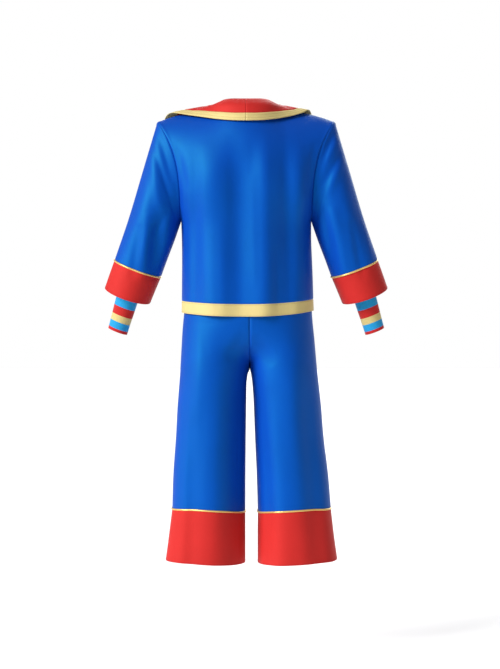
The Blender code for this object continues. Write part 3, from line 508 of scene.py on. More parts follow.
def upper_point(across, up, side, face):
    """A point of a half panel above the underarm, spanned by its four edges."""

    def bottom(share):
        return jacket_section(ARMHOLE_BOTTOM_Z, body_angle(share, side, face))

    def top(share):
        if face > 0 and share <= NECK_SHARE:
            return back_neckline(share / NECK_SHARE, side)
        if face > 0:
            return shoulder_seam((share - NECK_SHARE) / (1.0 - NECK_SHARE), side)
        return shoulder_seam(share, side)

    def inner(share):
        if face > 0:
            deep = JACKET_LEVELS[-1][3]
            z = ARMHOLE_BOTTOM_Z + (NECK_BACK[2] - ARMHOLE_BOTTOM_Z) * share
            y = NECK_BACK[1] + (deep - NECK_BACK[1]) * max(1.0 - share ** 5, 0.0) ** (1.0 / 1.6)
            return np.array((0.0, y, z))
        if share <= VEE_SHARE:
            part = share / VEE_SHARE
            y = -JACKET_LEVELS[-1][4] + (VEE_BOTTOM[1] + JACKET_LEVELS[-1][4]) * part
            return np.array((0.0, y, ARMHOLE_BOTTOM_Z + (VEE_BOTTOM[2] - ARMHOLE_BOTTOM_Z) * part))
        return front_neckline((share - VEE_SHARE) / (1.0 - VEE_SHARE), side)

    pull = up ** TOP_PULL
    reach = min(TOP_EASE, across, 1.0 - across) * (1.0 - up ** TOP_HOLD)
    eased = sum(top(across + reach * step) for step in TOP_EASE_STEPS) / len(TOP_EASE_STEPS)
    blend = (1.0 - pull) * bottom(across) + pull * eased
    blend = blend + (1.0 - across) * inner(up) + across * armhole(up, side, face)
    corners = (1.0 - across) * (1.0 - pull) * bottom(0.0) + across * (1.0 - pull) * bottom(1.0)
    corners = corners + (1.0 - across) * pull * top(0.0) + across * pull * top(1.0)
    return blend - corners


def body_half(side, face):
    """Half a body panel from the shoulder to the hem seam, top row first, centre first."""
    columns = stops(BODY_STEPS, HALF_PANEL_WIDTH, first=face < 0)
    if face > 0 and NECK_SHARE not in columns:
        columns = sorted(columns + [NECK_SHARE])
    upper = sorted(set(stops(BODY_ROWS // 2, YOKE_HEIGHT, first=False)) | {VEE_SHARE}, reverse=True)
    lower = stops(BODY_ROWS // 2, ARMHOLE_BOTTOM_Z - HEM_SEAM_Z, first=False)
    grid = [[upper_point(across, up, side, face) for across in columns] for up in upper]
    grid += lower_rows(side, face, columns, ARMHOLE_BOTTOM_Z, HEM_SEAM_Z, lower[1:])
    return folded(faired(np.array(grid), np.array(columns), face))


def faired(grid, columns, face):
    """A half panel evened out above the ribs, with its edges left where they are."""
    far = lengths_along(grid, 0)
    weight = np.clip(far / FAIR_TOP_REACH, 0.0, 1.0)
    weight = weight * np.clip((grid[..., 2] - FAIR_BOTTOM_Z) / FAIR_BOTTOM_EASE, 0.0, 1.0)
    weight = weight * (1.0 - columns ** FAIR_EDGE_POWER)
    if face < 0:
        weight = weight * (1.0 - (1.0 - columns) ** FAIR_EDGE_POWER)
    weight = 0.5 * weight[..., None]
    mirror = np.array((-1.0, 1.0, 1.0))
    for _ in range(FAIR_PASSES):
        before = grid[:, 1:2] * mirror if face > 0 else grid[:, :1]
        wide = np.concatenate([before, grid, grid[:, -1:]], axis=1)
        across = 0.5 * (wide[:, :-2] + wide[:, 2:])
        down = grid.copy()
        down[1:-1] = 0.5 * (grid[:-2] + grid[2:])
        grid = grid + weight * (0.5 * (across + down) - grid)
    return grid


def lower_rows(side, face, columns, top_z, bottom_z, shares):
    """Rows of a half panel between two heights."""
    angles = [body_angle(across, side, face) for across in columns]
    return [[jacket_section(top_z + (bottom_z - top_z) * share, angle) for angle in angles] for share in shares]


def band_half(side, face):
    """Half of a hem band."""
    columns = stops(BODY_STEPS, HALF_PANEL_WIDTH, first=face < 0)
    shares = stops(BAND_ROWS, HEM_BAND_HEIGHT)
    return folded(lower_rows(side, face, columns, HEM_SEAM_Z, JACKET_LEVELS[0][0], shares))


# Sleeves

def sleeve_ring(curve, share, side, fold_share):
    """A ring of a sleeve or cuff: underarm first, then over the back, the tip and the front."""
    outer_x, outer_z, inner_x, inner_z, half_depth, centre_y, back_dip = curve.at(share)
    centre = np.array((0.5 * (outer_x + inner_x), centre_y, 0.5 * (outer_z + inner_z)))
    half = np.array((0.5 * (outer_x - inner_x), 0.0, 0.5 * (outer_z - inner_z)))
    ring = []
    for step in range(SLEEVE_STEPS):
        angle = 2.0 * math.pi * step / SLEEVE_STEPS
        place = centre - half * math.cos(angle)
        place = place + np.array((0.0, half_depth * math.sin(angle), -back_dip * math.sin(angle)))
        move = 0.0
        for middle, half_width, height, start, end in SLEEVE_FOLDS:
            strength = soft_bump(fold_share - 0.5 * (start + end), 0.5 * (end - start))
            gap = (math.degrees(angle) - middle + 180.0) % 360.0 - 180.0
            move += height * strength * soft_bump(gap, half_width)
        ring.append((place + unit(place - centre) * move) * np.array((side, 1.0, 1.0)))
    return np.array(ring)


def sleeve_grid(side):
    """The sleeve from the armhole to the cuff seam."""
    loop = []
    for step in range(SLEEVE_STEPS):
        turn = 2.0 * step / SLEEVE_STEPS
        loop.append(armhole(turn, side, 1) if turn <= 1.0 else armhole(2.0 - turn, side, -1))
    offset = np.array(loop) - sleeve_ring(SLEEVE_CURVE, 0.0, side, 0.0)
    rows = []
    for share in stops(SLEEVE_ROWS, SLEEVE_LENGTH):
        settle = max(1.0 - share / ARMHOLE_SETTLE, 0.0) ** 1.3
        rows.append(sleeve_ring(SLEEVE_CURVE, share, side, share) + offset * settle)
    return np.array(rows)


def cuff_grid(side):
    """The turned cuff below the piping."""
    return np.array([sleeve_ring(CUFF_CURVE, share, side, 1.0) for share in stops(CUFF_ROWS, CUFF_LENGTH)])


def undersleeve_grid(side):
    """The knit tube, from its flared top on the cuff seam to the wrist."""
    top = -UNDERSLEEVE_STATIONS[0][2]
    bottom = -UNDERSLEEVE_STATIONS[-1][2]
    rows = []
    for share in stops(UNDERSLEEVE_ROWS, bottom - top, first=False):
        x, y, z, half_width, half_depth = UNDERSLEEVE_CURVE.at(top + (bottom - top) * share)
        row = []
        for step in range(UNDERSLEEVE_STEPS):
            angle = 2.0 * math.pi * step / UNDERSLEEVE_STEPS
            wide = -half_width * math.cos(angle)
            deep = half_depth * math.sin(angle)
            place = (side * (x + wide * math.cos(UNDERSLEEVE_TILT)), y + deep,
                     z + wide * math.sin(UNDERSLEEVE_TILT) - UNDERSLEEVE_DIP * deep)
            row.append(place)
        rows.append(row)
    return np.array(rows[::-1])


# Collar

def neckline_point(share, side):
    """A point of the neck edge, 0 at centre back and 1 at the closing."""
    if share <= COLLAR_TURN:
        return back_neckline(share / COLLAR_TURN, side)
    return front_neckline(1.0 - (share - COLLAR_TURN) / (1.0 - COLLAR_TURN), side)


def collar_grids(side, body_tree):
    """Red fall and yellow band of half the collar, a row for each station from centre back."""
    fall_parts = list(np.linspace(COLLAR_FIRST_PART, 1.0, COLLAR_ROWS))
    lines = []
    floors = []
    shares = stops(COLLAR_STEPS, COLLAR_LENGTH)
    edge_line = []
    for share in shares:
        _, _, outer_x, outer_y, outer_z, lean, _ = COLLAR_CURVE.at(share)
        edge_line.append((side * outer_x * (1.0 + side * lean), outer_y, outer_z))
    edge_line = np.array(edge_line)
    edge_run = unit(np.gradient(edge_line, shares, axis=0))
    for station, share in enumerate(shares):
        rise_out, rise_up, _, _, _, _, clearance = COLLAR_CURVE.at(share)
        neck = neckline_point(share, side)
        outer = edge_line[station]
        away = unit((neck[0], neck[1], 0.0))
        rise = away * rise_out + np.array((0.0, 0.0, rise_up))
        seat = body_tree.find_nearest(Vector(neck + COLLAR_SEAT_REACH * unit(outer - neck)))
        seat_normal = np.array(seat[1])
        spread = unit((outer - neck) - seat_normal * float(np.dot(outer - neck, seat_normal)))
        height = max(float(np.linalg.norm(rise)) * COLLAR_STAND_LIFT, clearance)
        base = neck - spread * COLLAR_SEAT_BACK
        line = [base + rise * part for part in COLLAR_STAND_PARTS]
        width = float(np.linalg.norm(outer - neck))
        slant = float(np.linalg.norm(np.cross(unit(outer - neck), edge_run[station])))
        seam = 1.0 - min(COLLAR_BAND_WIDTH / (width * slant), COLLAR_WIDEST_BAND_SHARE)
        edge = [EDGE_STEPS[0] / width, EDGE_STEPS[1] / width]
        parts = [part * seam for part in fall_parts]
        parts = sorted(parts[:-1] + [seam - edge[1], seam - edge[0], seam])
        band = [seam, seam + edge[0], seam + edge[1], 0.5 * (seam + 1.0), 1.0 - edge[1], 1.0 - edge[0], 1.0]
        for part in parts + band[1:]:
            guess = neck + (outer - neck) * part
            place, normal, _, _ = body_tree.find_nearest(Vector(guess))
            lift = clearance + (height - clearance) * (1.0 - part) ** COLLAR_LIFT_POWER + CLOTH
            line.append(np.array(place) + np.array(normal) * lift)
        lines.append(line)
        floors.append(clearance + CLOTH)
    lines = np.array(lines)
    lines[0, :, 0] = 0.0
    for _ in range(COLLAR_RELAX_PASSES):
        lines[1:-1, 3:] = 0.5 * lines[1:-1, 3:] + 0.25 * (lines[:-2, 3:] + lines[2:, 3:])
        lines[:, 4:-1] = 0.6 * lines[:, 4:-1] + 0.2 * (lines[:, 3:-2] + lines[:, 5:])
    for station in range(1, lines.shape[0] - 1):
        for column in range(4, lines.shape[1]):
            point = lines[station, column]
            place, normal, _, _ = body_tree.find_nearest(Vector(point))
            height = float(np.dot(point - np.array(place), np.array(normal)))
            if height < floors[station]:
                lines[station, column] = point + np.array(normal) * (floors[station] - height)
    lines[1:, :, 0] = side * np.maximum(side * lines[1:, :, 0], COLLAR_FRONT_CLEAR)
    return lines[:, :1 - len(band)], lines[:, -len(band):]


# Trousers

def leg_tilt(z, sine, cosine):
    """How far the leg's lower seam and hem lie above a level: low inside, high outside and behind."""
    strength = smooth_step((LEG_TILT_TOP_Z - z) / LEG_TILT_REACH)
    rise = LEG_SEAM_RISE + (LEG_HEM_RISE - LEG_SEAM_RISE) * smooth_step((LEG_SEAM_Z - z) / LEG_CUFF_HEIGHT)
    return strength * (rise * max(-sine, 0.0) ** 2 - LEG_TILT * cosine)


def leg_point(curve, z, side, share):
    """A point of a leg: share 0 at centre front, round the outside, 1 at centre back."""
    left_outer, left_inner, right_inner, right_outer, back, front, closing = curve.at(z)
    outer = left_outer if side > 0 else right_outer
    inner = left_inner if side > 0 else right_inner
    sine = max(math.sin(math.pi * share), 0.0) ** (2.0 / ROUNDNESS)
    cosine = signed_power(math.cos(math.pi * share), 2.0 / ROUNDNESS)
    depth = back if cosine < 0.0 else front
    open_point = np.array((CROTCH_X + (outer - CROTCH_X) * sine, -depth * cosine, z))
    angle = 2.0 * math.pi * share if 0.0 < share < 1.0 else 0.0
    sine, cosine = rounded(angle)
    centre = 0.5 * (outer + inner)
    depth = front if sine > 0.0 else back
    closed_point = np.array((centre - 0.5 * (outer - inner) * cosine, -depth * sine, z))
    point = open_point * (1.0 - closing) + closed_point * closing
    move = 0.0
    for middle, half_width, height, top, fold_side in LEG_FOLDS:
        if fold_side == side:
            strength = smooth_step((top - z) / LEG_FOLD_EASE)
            move += height * strength * soft_bump(math.degrees(angle) - middle, half_width)
    return point + unit((point[0] - centre, point[1], 0.0)) * move + np.array((0.0, 0.0, leg_tilt(z, sine, cosine)))


def leg_rows(curve, heights, side):
    """Rows of a leg or its cuff at the given heights."""
    grid = np.array([[leg_point(curve, z, side, step / LEG_STEPS) for step in range(LEG_STEPS + 1)]
                     for z in heights])
    near = np.array([soft_bump(z - CROTCH_Z, CROTCH_FAIR_REACH) for z in heights[1:-1]])
    free = np.sin(np.pi * np.arange(LEG_STEPS + 1) / LEG_STEPS) ** CROTCH_FAIR_POWER
    weight = np.minimum(2.0 * near, 1.0)[:, None, None] * free[None, :, None]
    for _ in range(CROTCH_FAIR_PASSES):
        grid[1:-1] += 0.5 * weight * (0.5 * (grid[:-2] + grid[2:]) - grid[1:-1])
    return grid


def leg_heights():
    """Heights of a leg's rows, with the crotch among them."""
    top = TROUSER_LEVELS[0][0]
    bottom = TROUSER_LEVELS[-1][0]
    heights = [top + (bottom - top) * share for share in stops(LEG_ROWS, top - bottom)]
    nearest = min(range(len(heights)), key=lambda index: abs(heights[index] - CROTCH_Z))
    heights[nearest] = CROTCH_Z
    return heights, nearest


def surface_tree(grids):
    """A search tree over grids of points, its faces turned away from the body's upright axis."""
    vertices = []
    faces = []
    for points in grids:
        rows, columns = points.shape[:2]
        for row in range(rows - 1):
            for column in range(columns - 1):
                corners = points[[row, row, row + 1, row + 1], [column, column + 1, column + 1, column]]
                normal = np.cross(corners[2] - corners[0], corners[3] - corners[1])
                middle = corners.mean(axis=0)
                core = (0.0, 0.0, min(middle[2] - AXIS_DROP, AXIS_TOP_Z))
                first = len(vertices) + row * columns + column
                face = (first, first + 1, first + 1 + columns, first + columns)
                faces.append(face if float(np.dot(normal, middle - core)) > 0.0 else face[::-1])
        vertices.extend(Vector(point) for point in points.reshape(-1, 3))
    return BVHTree.FromPolygons(vertices, faces)


# Shells

def grid_normals(points, closed):
    """Normals of a grid of points, from its own rows and columns."""
    if closed:
        across = np.roll(points, -1, axis=1) - np.roll(points, 1, axis=1)
    else:
        across = np.gradient(points, axis=1)
    return unit(np.cross(across, np.gradient(points, axis=0)))


def lengths_along(points, axis):
    """Running length along a grid's rows or columns, in metres."""
    steps = np.linalg.norm(np.diff(points, axis=axis), axis=-1)
    start = np.zeros_like(np.take(steps, [0], axis=axis))
    return np.concatenate([start, np.cumsum(steps, axis=axis)], axis=axis)


def crease_move(points, normals, table):
    """How far the creases of a table move each point along its normal."""
    flat = points[..., [0, 2]]
    total = np.zeros(points.shape[:2])
    for face, *sizes in table:
        start_x, start_z, end_x, end_z, half_width, height = (size / 1000.0 for size in sizes)
        start = np.array((start_x, start_z))
        along = np.array((end_x, end_z)) - start
        length = float(np.linalg.norm(along))
        along = along / length
        part = ((flat - start) @ along) / length
        aside = np.abs((flat - start) @ np.array((-along[1], along[0])))
        facing = np.clip(face * normals[..., 1] * CREASE_FACING - 0.1 * CREASE_FACING, 0.0, 1.0)
        taper = np.sin(np.pi * np.clip(part, 0.0, 1.0)) ** CREASE_TAPER
        total += height * taper * np.exp(-(aside / half_width) ** 2) * facing
    return total


def edge_distance(points, closed, edges):
    """How far each point of a grid lies from the named edges."""
    down = lengths_along(points, 0)
    across = lengths_along(points, 1)
    far = np.full(points.shape[:2], 1.0)
    gaps = {"top": down, "bottom": down[-1:] - down, "first": across, "last": across[:, -1:] - across}
    for edge in edges:
        if not closed or edge in ("top", "bottom"):
            far = np.minimum(far, gaps[edge])
    return far


def seam_move(points, closed, sewn):
    """Draw a shell in along its sewn edges, as a turned edge is."""
    return -SEAM_DIP * np.exp(-(edge_distance(points, closed, sewn) / SEAM_WIDTH) ** 2)


def seam_puff(points, closed, edges):
    """Raise a shell a little beside its armhole edges, so that the seam lies in a groove."""
    part = edge_distance(points, closed, edges) / PUFF_REACH
    return SEAM_DIP * part ** 2 * np.exp(1.0 - part ** 2)


def make_cloth(node, kind, points, core=None, closed=False, join_row=None,
               creases=(), sewn=(), still=(), armhole=()):
    """A cloth shell in the place of its node, with creases that end at its still edges, and seams."""
    if core is None:
        core = points.mean(axis=1, keepdims=True)
    normals = grid_normals(points, closed)
    sign = 1.0 if float(((points - core) * normals).sum()) > 0.0 else -1.0
    normals = normals * sign
    if join_row is not None:
        pinned = normals[:, 0] + normals[:, -1]
        normals[join_row:, 0] = unit(pinned[join_row:])
        normals[join_row:, -1] = normals[join_row:, 0]
    fade = np.clip(edge_distance(points, closed, still) / CREASE_FADE, 0.0, 1.0)
    move = crease_move(points, normals, creases) * fade * fade * (3.0 - 2.0 * fade)
    move = move + seam_move(points, closed, [edge for edge in sewn if edge not in armhole])
    if armhole:
        rise = (points[..., 2] - ARMHOLE_BOTTOM_Z) / PUFF_RISE
        side_seam = [edge for edge in sewn if edge in armhole]
        move = move + np.clip(-rise, 0.0, 1.0) * seam_move(points, closed, side_seam)
        move = move + np.clip(rise, 0.0, 1.0) * seam_puff(points, closed, armhole)
    if join_row is not None:
        move[join_row:, -1] = move[join_row:, 0]
    points = points + normals * move[..., None]
    made, width, length = shell_object(node + ("_knit" if kind == "knit" else "_cloth"), points, sign, closed,
                                       join_row)
    made.data.materials.append(finishes()[kind])
    wall = made.modifiers.new("cloth thickness", "SOLIDIFY")
    wall.thickness = CLOTH
    wall.offset = -1.0
    wall.use_quality_normals = True
    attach(made, "root")
    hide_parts(node)
    return points, normals


def shell_object(name, points, sign, closed, join_row):
    """An object with a grid's faces and its cloth's run in metres as UV; also its width and length."""
    rows, columns = points.shape[:2]
    index = np.arange(rows * columns).reshape(rows, columns)
    if join_row is not None:
        index[join_row:, -1] = index[join_row:, 0]
    across = lengths_along(points, 1)
    down = lengths_along(points, 0)
    around = across[:, -1] + np.linalg.norm(points[:, 0] - points[:, -1], axis=1)
    faces = []
    texture = []
    for row in range(rows - 1):
        for column in range(columns if closed else columns - 1):
            after = (column + 1) % columns
            cell = ((row, column), (row, after), (row + 1, after), (row + 1, column))
            if sign < 0.0:
                cell = cell[::-1]
            faces.append(tuple(int(index[key]) for key in cell))
            for key in cell:
                wide = around[key[0]] if closed and after == 0 and key[1] == 0 else across[key]
                texture.append((wide, down[key]))
    mesh = bpy.data.meshes.new(name)
    used = sorted({vertex for face in faces for vertex in face})
    renumber = {old: new for new, old in enumerate(used)}
    vertices = points.reshape(-1, 3)[used]
    mesh.from_pydata(vertices.tolist(), [], [tuple(renumber[vertex] for vertex in face) for face in faces])
    layer = mesh.uv_layers.new(name=CLOTH_MAP)
    layer.data.foreach_set("uv", np.array(texture, dtype=np.float32).ravel())
    mesh.shade_smooth()
    width = around.max() if closed else across[:, -1].max()
    return add_object(name, mesh), float(width), float(down[-1].max())


def add_object(name, data):
    """A new object in the scene."""
    made = bpy.data.objects.new(name, data)
    bpy.context.scene.collection.objects.link(made)
    return made


def plain_piece(name, holder, kind):
    """The finished mesh of a holder as a piece of its own, which takes the holder's place."""
    bpy.context.view_layer.update()
    evaluated = holder.evaluated_get(bpy.context.evaluated_depsgraph_get())
    mesh = bpy.data.meshes.new_from_object(evaluated)
    mesh.name = name
    bpy.data.objects.remove(holder)
    material = finishes()[kind]
    if material not in mesh.materials.values():
        mesh.materials.clear()
        mesh.materials.append(material)
    made = add_object(name, mesh)
    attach(made, "root")
    return made


# Node trees

def fill(tree, made, values):
    """Set each named input of a node, or link it where the value is another node's output."""
    for key, value in values.items():
        if isinstance(value, bpy.types.NodeSocket):
            tree.links.new(value, made.inputs[key])
        else:
            made.inputs[key].default_value = value
    return made


def add_node(tree, kind, values=None, output=0, **settings):
    """A new node with its settings and inputs; returns one of its outputs."""
    made = tree.nodes.new(kind)
    for key, value in settings.items():
        setattr(made, key, value)
    fill(tree, made, values or {})
    return made.outputs[output] if made.outputs else None


# Trims

def stitch_tree(kind, sizes):
    """Node tree that lays short thread stitches along the edges of a guide mesh."""
    tree = bpy.data.node_groups.new("Thread stitches", "GeometryNodeTree")
    for way in ("INPUT", "OUTPUT"):
        tree.interface.new_socket("Geometry", in_out=way, socket_type="NodeSocketGeometry")
    sockets = {}
    for label, value in sizes.items():
        made = tree.interface.new_socket(label, in_out="INPUT", socket_type="NodeSocketFloat")
        made.default_value = value
        sockets[label] = made.identifier
    source = tree.nodes.new("NodeGroupInput").outputs
    curve = add_node(tree, "GeometryNodeMeshToCurve", {"Mesh": source["Geometry"]})
    points = add_node(tree, "GeometryNodeResampleCurve", {"Curve": curve, "Length": source["Pitch"]}, mode="LENGTH")
    tangent = add_node(tree, "GeometryNodeInputTangent")
    turn = add_node(tree, "FunctionNodeAlignEulerToVector", {"Vector": tangent}, axis="Z")
    stitch = add_node(tree, "GeometryNodeMeshCylinder", {
        "Vertices": 6, "Depth": source["Stitch length"], "Radius": source["Thread radius"]})
    spread = add_node(tree, "GeometryNodeInstanceOnPoints", {"Points": points, "Instance": stitch, "Rotation": turn})
    whole = add_node(tree, "GeometryNodeRealizeInstances", {"Geometry": spread})
    finish = add_node(tree, "GeometryNodeSetMaterial", {"Geometry": whole, "Material": finishes()[kind]})
    add_node(tree, "NodeGroupOutput", {"Geometry": finish})
    return tree, sockets


def make_stitches(name, lines, colour):
    """One joined mesh of stitches along several lines of points."""
    vertices = []
    edges = []
    for line in lines:
        start = len(vertices)
        vertices.extend(tuple(float(value) for value in point) for point in line)
        edges.extend((start + step, start + step + 1) for step in range(len(line) - 1))
    guide = bpy.data.meshes.new(name + "_guide")
    guide.from_pydata(vertices, edges, [])
    holder = add_object(name + "_guide", guide)
    settings = bpy.context.scene.costume_trims
    sizes = {"Pitch": settings.stitch_pitch, "Stitch length": settings.stitch_length,
             "Thread radius": settings.thread_radius}
    modifier = holder.modifiers.new("Stitches", "NODES")
    modifier.node_group, sockets = stitch_tree(colour + "_thread", sizes)
    for label, value in sizes.items():
        modifier[sockets[label]] = value
    plain_piece(name, holder, colour + "_thread")


def make_piping(node, ring, normals):
    """A round gold cord all along a seam's ring of points, in the place of its node."""
    made = make_cord(node + "_cord", ring + normals * PIPING_LIFT, PIPING_RADIUS, "gold")
    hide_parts(node)


def make_binding(name, ring, normals, body_tree):
    """The bound seam inside an armhole."""
    centre = []
    for place, normal in zip(ring, normals):
        body_normal = np.array(body_tree.find_nearest(Vector(place))[1])
        centre.append(place - unit(normal + body_normal) * BINDING_DEPTH)
    make_cord(name, centre, BINDING_RADIUS, "blue_thread")


def make_cord(name, centre, radius, kind):
    """A closed round cord through a ring of points."""
    curve = bpy.data.curves.new(name, "CURVE")
    curve.dimensions = "3D"
    curve.bevel_depth = radius
    curve.bevel_resolution = 3
    spline = curve.splines.new("POLY")
    spline.points.add(len(centre) - 1)
    for point, place in zip(spline.points, centre):
        point.co = (*place, 1.0)
    spline.use_cyclic_u = True
    made = plain_piece(name, add_object(name + "_curve", curve), kind)
    made.data.shade_smooth()
    return made


# Finishes

def new_material(name, roughness, sheen=0.0, metallic=0.0, gloss=0.12, tint=(1.0, 1.0, 1.0)):
    """A material with its shader set up, its node tree and its shader."""
    material = bpy.data.materials.new(name)
    material.use_nodes = True
    tree = material.node_tree
    shader = fill(tree, tree.nodes["Principled BSDF"], {
        "Roughness": roughness, "Metallic": metallic, "Sheen Weight": sheen, "Sheen Roughness": 0.35,
        "Specular IOR Level": gloss, "Specular Tint": (*tint, 1.0)})
    return material, tree, shader


def bands(tree, place, direction, pitch, distortion, **more):
    """Waves that repeat at a pitch in metres."""
    values = {"Vector": place, "Scale": WAVE_PERIOD / pitch, "Distortion": distortion, **more}
    return add_node(tree, "ShaderNodeTexWave", values, bands_direction=direction)


def speckle(tree, place, scale, detail=2.0):
    """Soft noise; returns its strength."""
    return add_node(tree, "ShaderNodeTexNoise", {"Vector": place, "Scale": scale, "Detail": detail})


def joined(tree, operation, one, two):
    """Sum or product of two strengths."""
    return add_node(tree, "ShaderNodeMath", {0: one, 1: two}, operation=operation)


def blended(tree, share, one, two, way="MIX"):
    """A mix of two colours."""
    return add_node(tree, "ShaderNodeMix", {"Factor": share, 6: one, 7: two}, 2, data_type="RGBA", blend_type=way)


def relief(tree, height, strength, distance, **more):
    """A bumped normal."""
    return add_node(tree, "ShaderNodeBump", {"Height": height, "Strength": strength, "Distance": distance, **more})


def woven_cloth(name, colour, roughness, satin, tint, weave_pitch, depth):
    """Plain woven cloth: yarn bump both ways, faint slubs, a slow drift of tone and a satin glow."""
    material, tree, shader = new_material(name, roughness, gloss=satin, tint=tint)
    cloth = add_node(tree, "ShaderNodeUVMap", uv_map=CLOTH_MAP)
    weave = joined(tree, "MULTIPLY", *(bands(tree, cloth, way, weave_pitch, 0.25, Detail=1.0) for way in "XY"))
    stretch = add_node(tree, "ShaderNodeMapping", {"Vector": cloth, "Scale": (900.0, 60.0, 1.0)})
    slub = speckle(tree, stretch, 1.0, 3.0)
    drift = joined(tree, "ADD", slub, speckle(tree, cloth, 9.0))
    tone = add_node(tree, "ShaderNodeMapRange", {
        "Value": drift, "From Min": 0.6, "From Max": 1.4, "To Min": 0.93, "To Max": 1.07})
    gloss = add_node(tree, "ShaderNodeMapRange", {
        "Value": slub, "To Min": roughness - 0.05, "To Max": roughness + 0.06})
    pucker = relief(tree, speckle(tree, cloth, 38.0, 2.5), 0.12, 0.0012)
    fill(tree, shader, {"IOR": 1.9, "Base Color": blended(tree, 1.0, colour, tone, "MULTIPLY"),
                        "Roughness": gloss, "Normal": relief(tree, weave, 0.35, depth, Normal=pucker)})
    return material


def striped_knit(name, stripes):
    """Fine knit with bands of colour, each with its width in metres, up from the wrist."""
    material, tree, shader = new_material(name, 0.82, 0.35)
    length = sum(width for width, _ in stripes)
    cloth = add_node(tree, "ShaderNodeUVMap", uv_map=CLOTH_MAP)
    height = add_node(tree, "ShaderNodeSeparateXYZ", {"Vector": cloth}, "Y")
    share = add_node(tree, "ShaderNodeMapRange", {"Value": height, "From Min": 0.0, "From Max": length})
    ramp = tree.nodes.new("ShaderNodeValToRGB")
    ramp.color_ramp.interpolation = "CONSTANT"
    elements = ramp.color_ramp.elements
    position = 0.0
    for number, (width, colour) in enumerate(stripes):
        element = elements[number] if number < 2 else elements.new(position / length)
        element.position = position / length
        element.color = colour
        position += width
    fill(tree, ramp, {"Fac": share})
    loops = joined(tree, "MULTIPLY", bands(tree, cloth, "X", 0.0013, 0.6), bands(tree, cloth, "Y", 0.0010, 0.9))
    fill(tree, shader, {"Base Color": ramp.outputs["Color"], "Normal": relief(tree, loops, 0.5, 0.0004)})
    return material


def metallic_piping(name, colour):
    """Gold cord: fine twisted threads with a bright glint."""
    material, tree, shader = new_material(name, 0.34, 0.0, 0.50, 0.5)
    place = add_node(tree, "ShaderNodeTexCoord", output="Object")
    twist = add_node(tree, "ShaderNodeTexWave", {
        "Vector": place, "Scale": WAVE_PERIOD / 0.0012, "Distortion": 1.0}, "Fac", bands_direction="DIAGONAL")
    fill(tree, shader, {"Base Color": blended(tree, twist, darker(colour, 0.72), colour),
                        "Normal": relief(tree, twist, 0.4, 0.0003)})
    return material


def thread(name, colour):
    """Sewing thread."""
    material, tree, shader = new_material(name, 0.5, 0.2)
    fibre = speckle(tree, add_node(tree, "ShaderNodeTexCoord", output="Object"), 900.0)
    fill(tree, shader, {"Base Color": blended(tree, fibre, darker(colour, 0.75), colour)})
    return material


def darker(colour, share):
    """A colour with its light cut to a share."""
    return tuple(value * share for value in colour[:3]) + (1.0,)


MADE = {}


def finishes():
    """All the costume's materials, made once."""
    if MADE:
        return MADE
    colours = bpy.context.scene.costume_colours
    blue, red, yellow, gold, light_blue = (
        (*getattr(colours, name), 1.0) for name in ("blue", "red", "yellow", "gold", "light_blue"))
    MADE["blue"] = woven_cloth("Blue satin cloth", blue, 0.55, 0.40, (0.01, 0.62, 0.50), 0.0006, 0.00012)
    MADE["red"] = woven_cloth("Red cloth", red, 0.62, 0.25, (1.0, 0.16, 0.14), 0.0007, 0.00014)
    MADE["yellow"] = woven_cloth("Pale yellow cloth", yellow, 0.62, 0.20, (1.0, 0.88, 0.55), 0.0007, 0.00014)
    MADE["gold"] = metallic_piping("Gold piping", gold)
    stripes = [(0.008, red), (0.020, light_blue), (0.020, yellow), (0.024, red), (0.025, light_blue)]
    stripes += [(0.020, yellow), (0.024, red), (0.025, light_blue), (0.020, yellow), (0.060, red)]
    MADE["knit"] = striped_knit("Striped knit", stripes)
    for name, colour in (("blue", blue), ("red", red), ("yellow", yellow)):
        MADE[name + "_thread"] = thread(name.capitalize() + " thread", darker(colour, 0.8))
    return MADE


# Settings

def colour_setting(name, description, default):
    """A cloth colour that a user can change."""
    return FloatVectorProperty(name=name, description=description, default=default, subtype="COLOR", min=0.0,
                               max=1.0)


def size_setting(name, description, default):
    """A length that a user can change."""
    return FloatProperty(name=name, description=description, default=default, subtype="DISTANCE")


class CostumeColours(bpy.types.PropertyGroup):
    """Cloth colours, linear."""
    blue: colour_setting("Blue", "Jacket and trousers", (0.002, 0.042, 0.380))
    red: colour_setting("Red", "Collar and cuffs", (0.500, 0.022, 0.020))
    yellow: colour_setting("Yellow", "Bands", (0.620, 0.500, 0.205))
    gold: colour_setting("Gold", "Piping", (0.950, 0.640, 0.200))
    light_blue: colour_setting("Light blue", "Knit stripes", (0.020, 0.300, 0.610))


class CostumeTrims(bpy.types.PropertyGroup):
    """Sizes of the stitches."""
    stitch_pitch: size_setting("Stitch pitch", "From one stitch to the next", 0.0036)
    stitch_length: size_setting("Stitch length", "Length of one stitch", 0.0025)
    thread_radius: size_setting("Thread radius", "Half the thread's thickness", 0.00026)


class CostumeStage(bpy.types.PropertyGroup):
    """Camera, floor and light."""
    distance: size_setting("Distance", "Camera to the costume's middle", 4.0)
    camera_height: size_setting("Camera height", "Height of the level camera", -0.530)
    floor_height: size_setting("Floor height", "Height of the floor", -1.578)
    key_light: FloatProperty(name="Key light", description="Strength of the broad soft light", default=4.0, min=0.0)
    room_light: FloatProperty(name="Room light", description="Strength of the light all round", default=0.30,
                              min=0.0)


# Operators

def stitch_line(points, normals, row):
    """A line of stitching on a row of a shell."""
    return points[row] + normals[row] * STITCH_LIFT


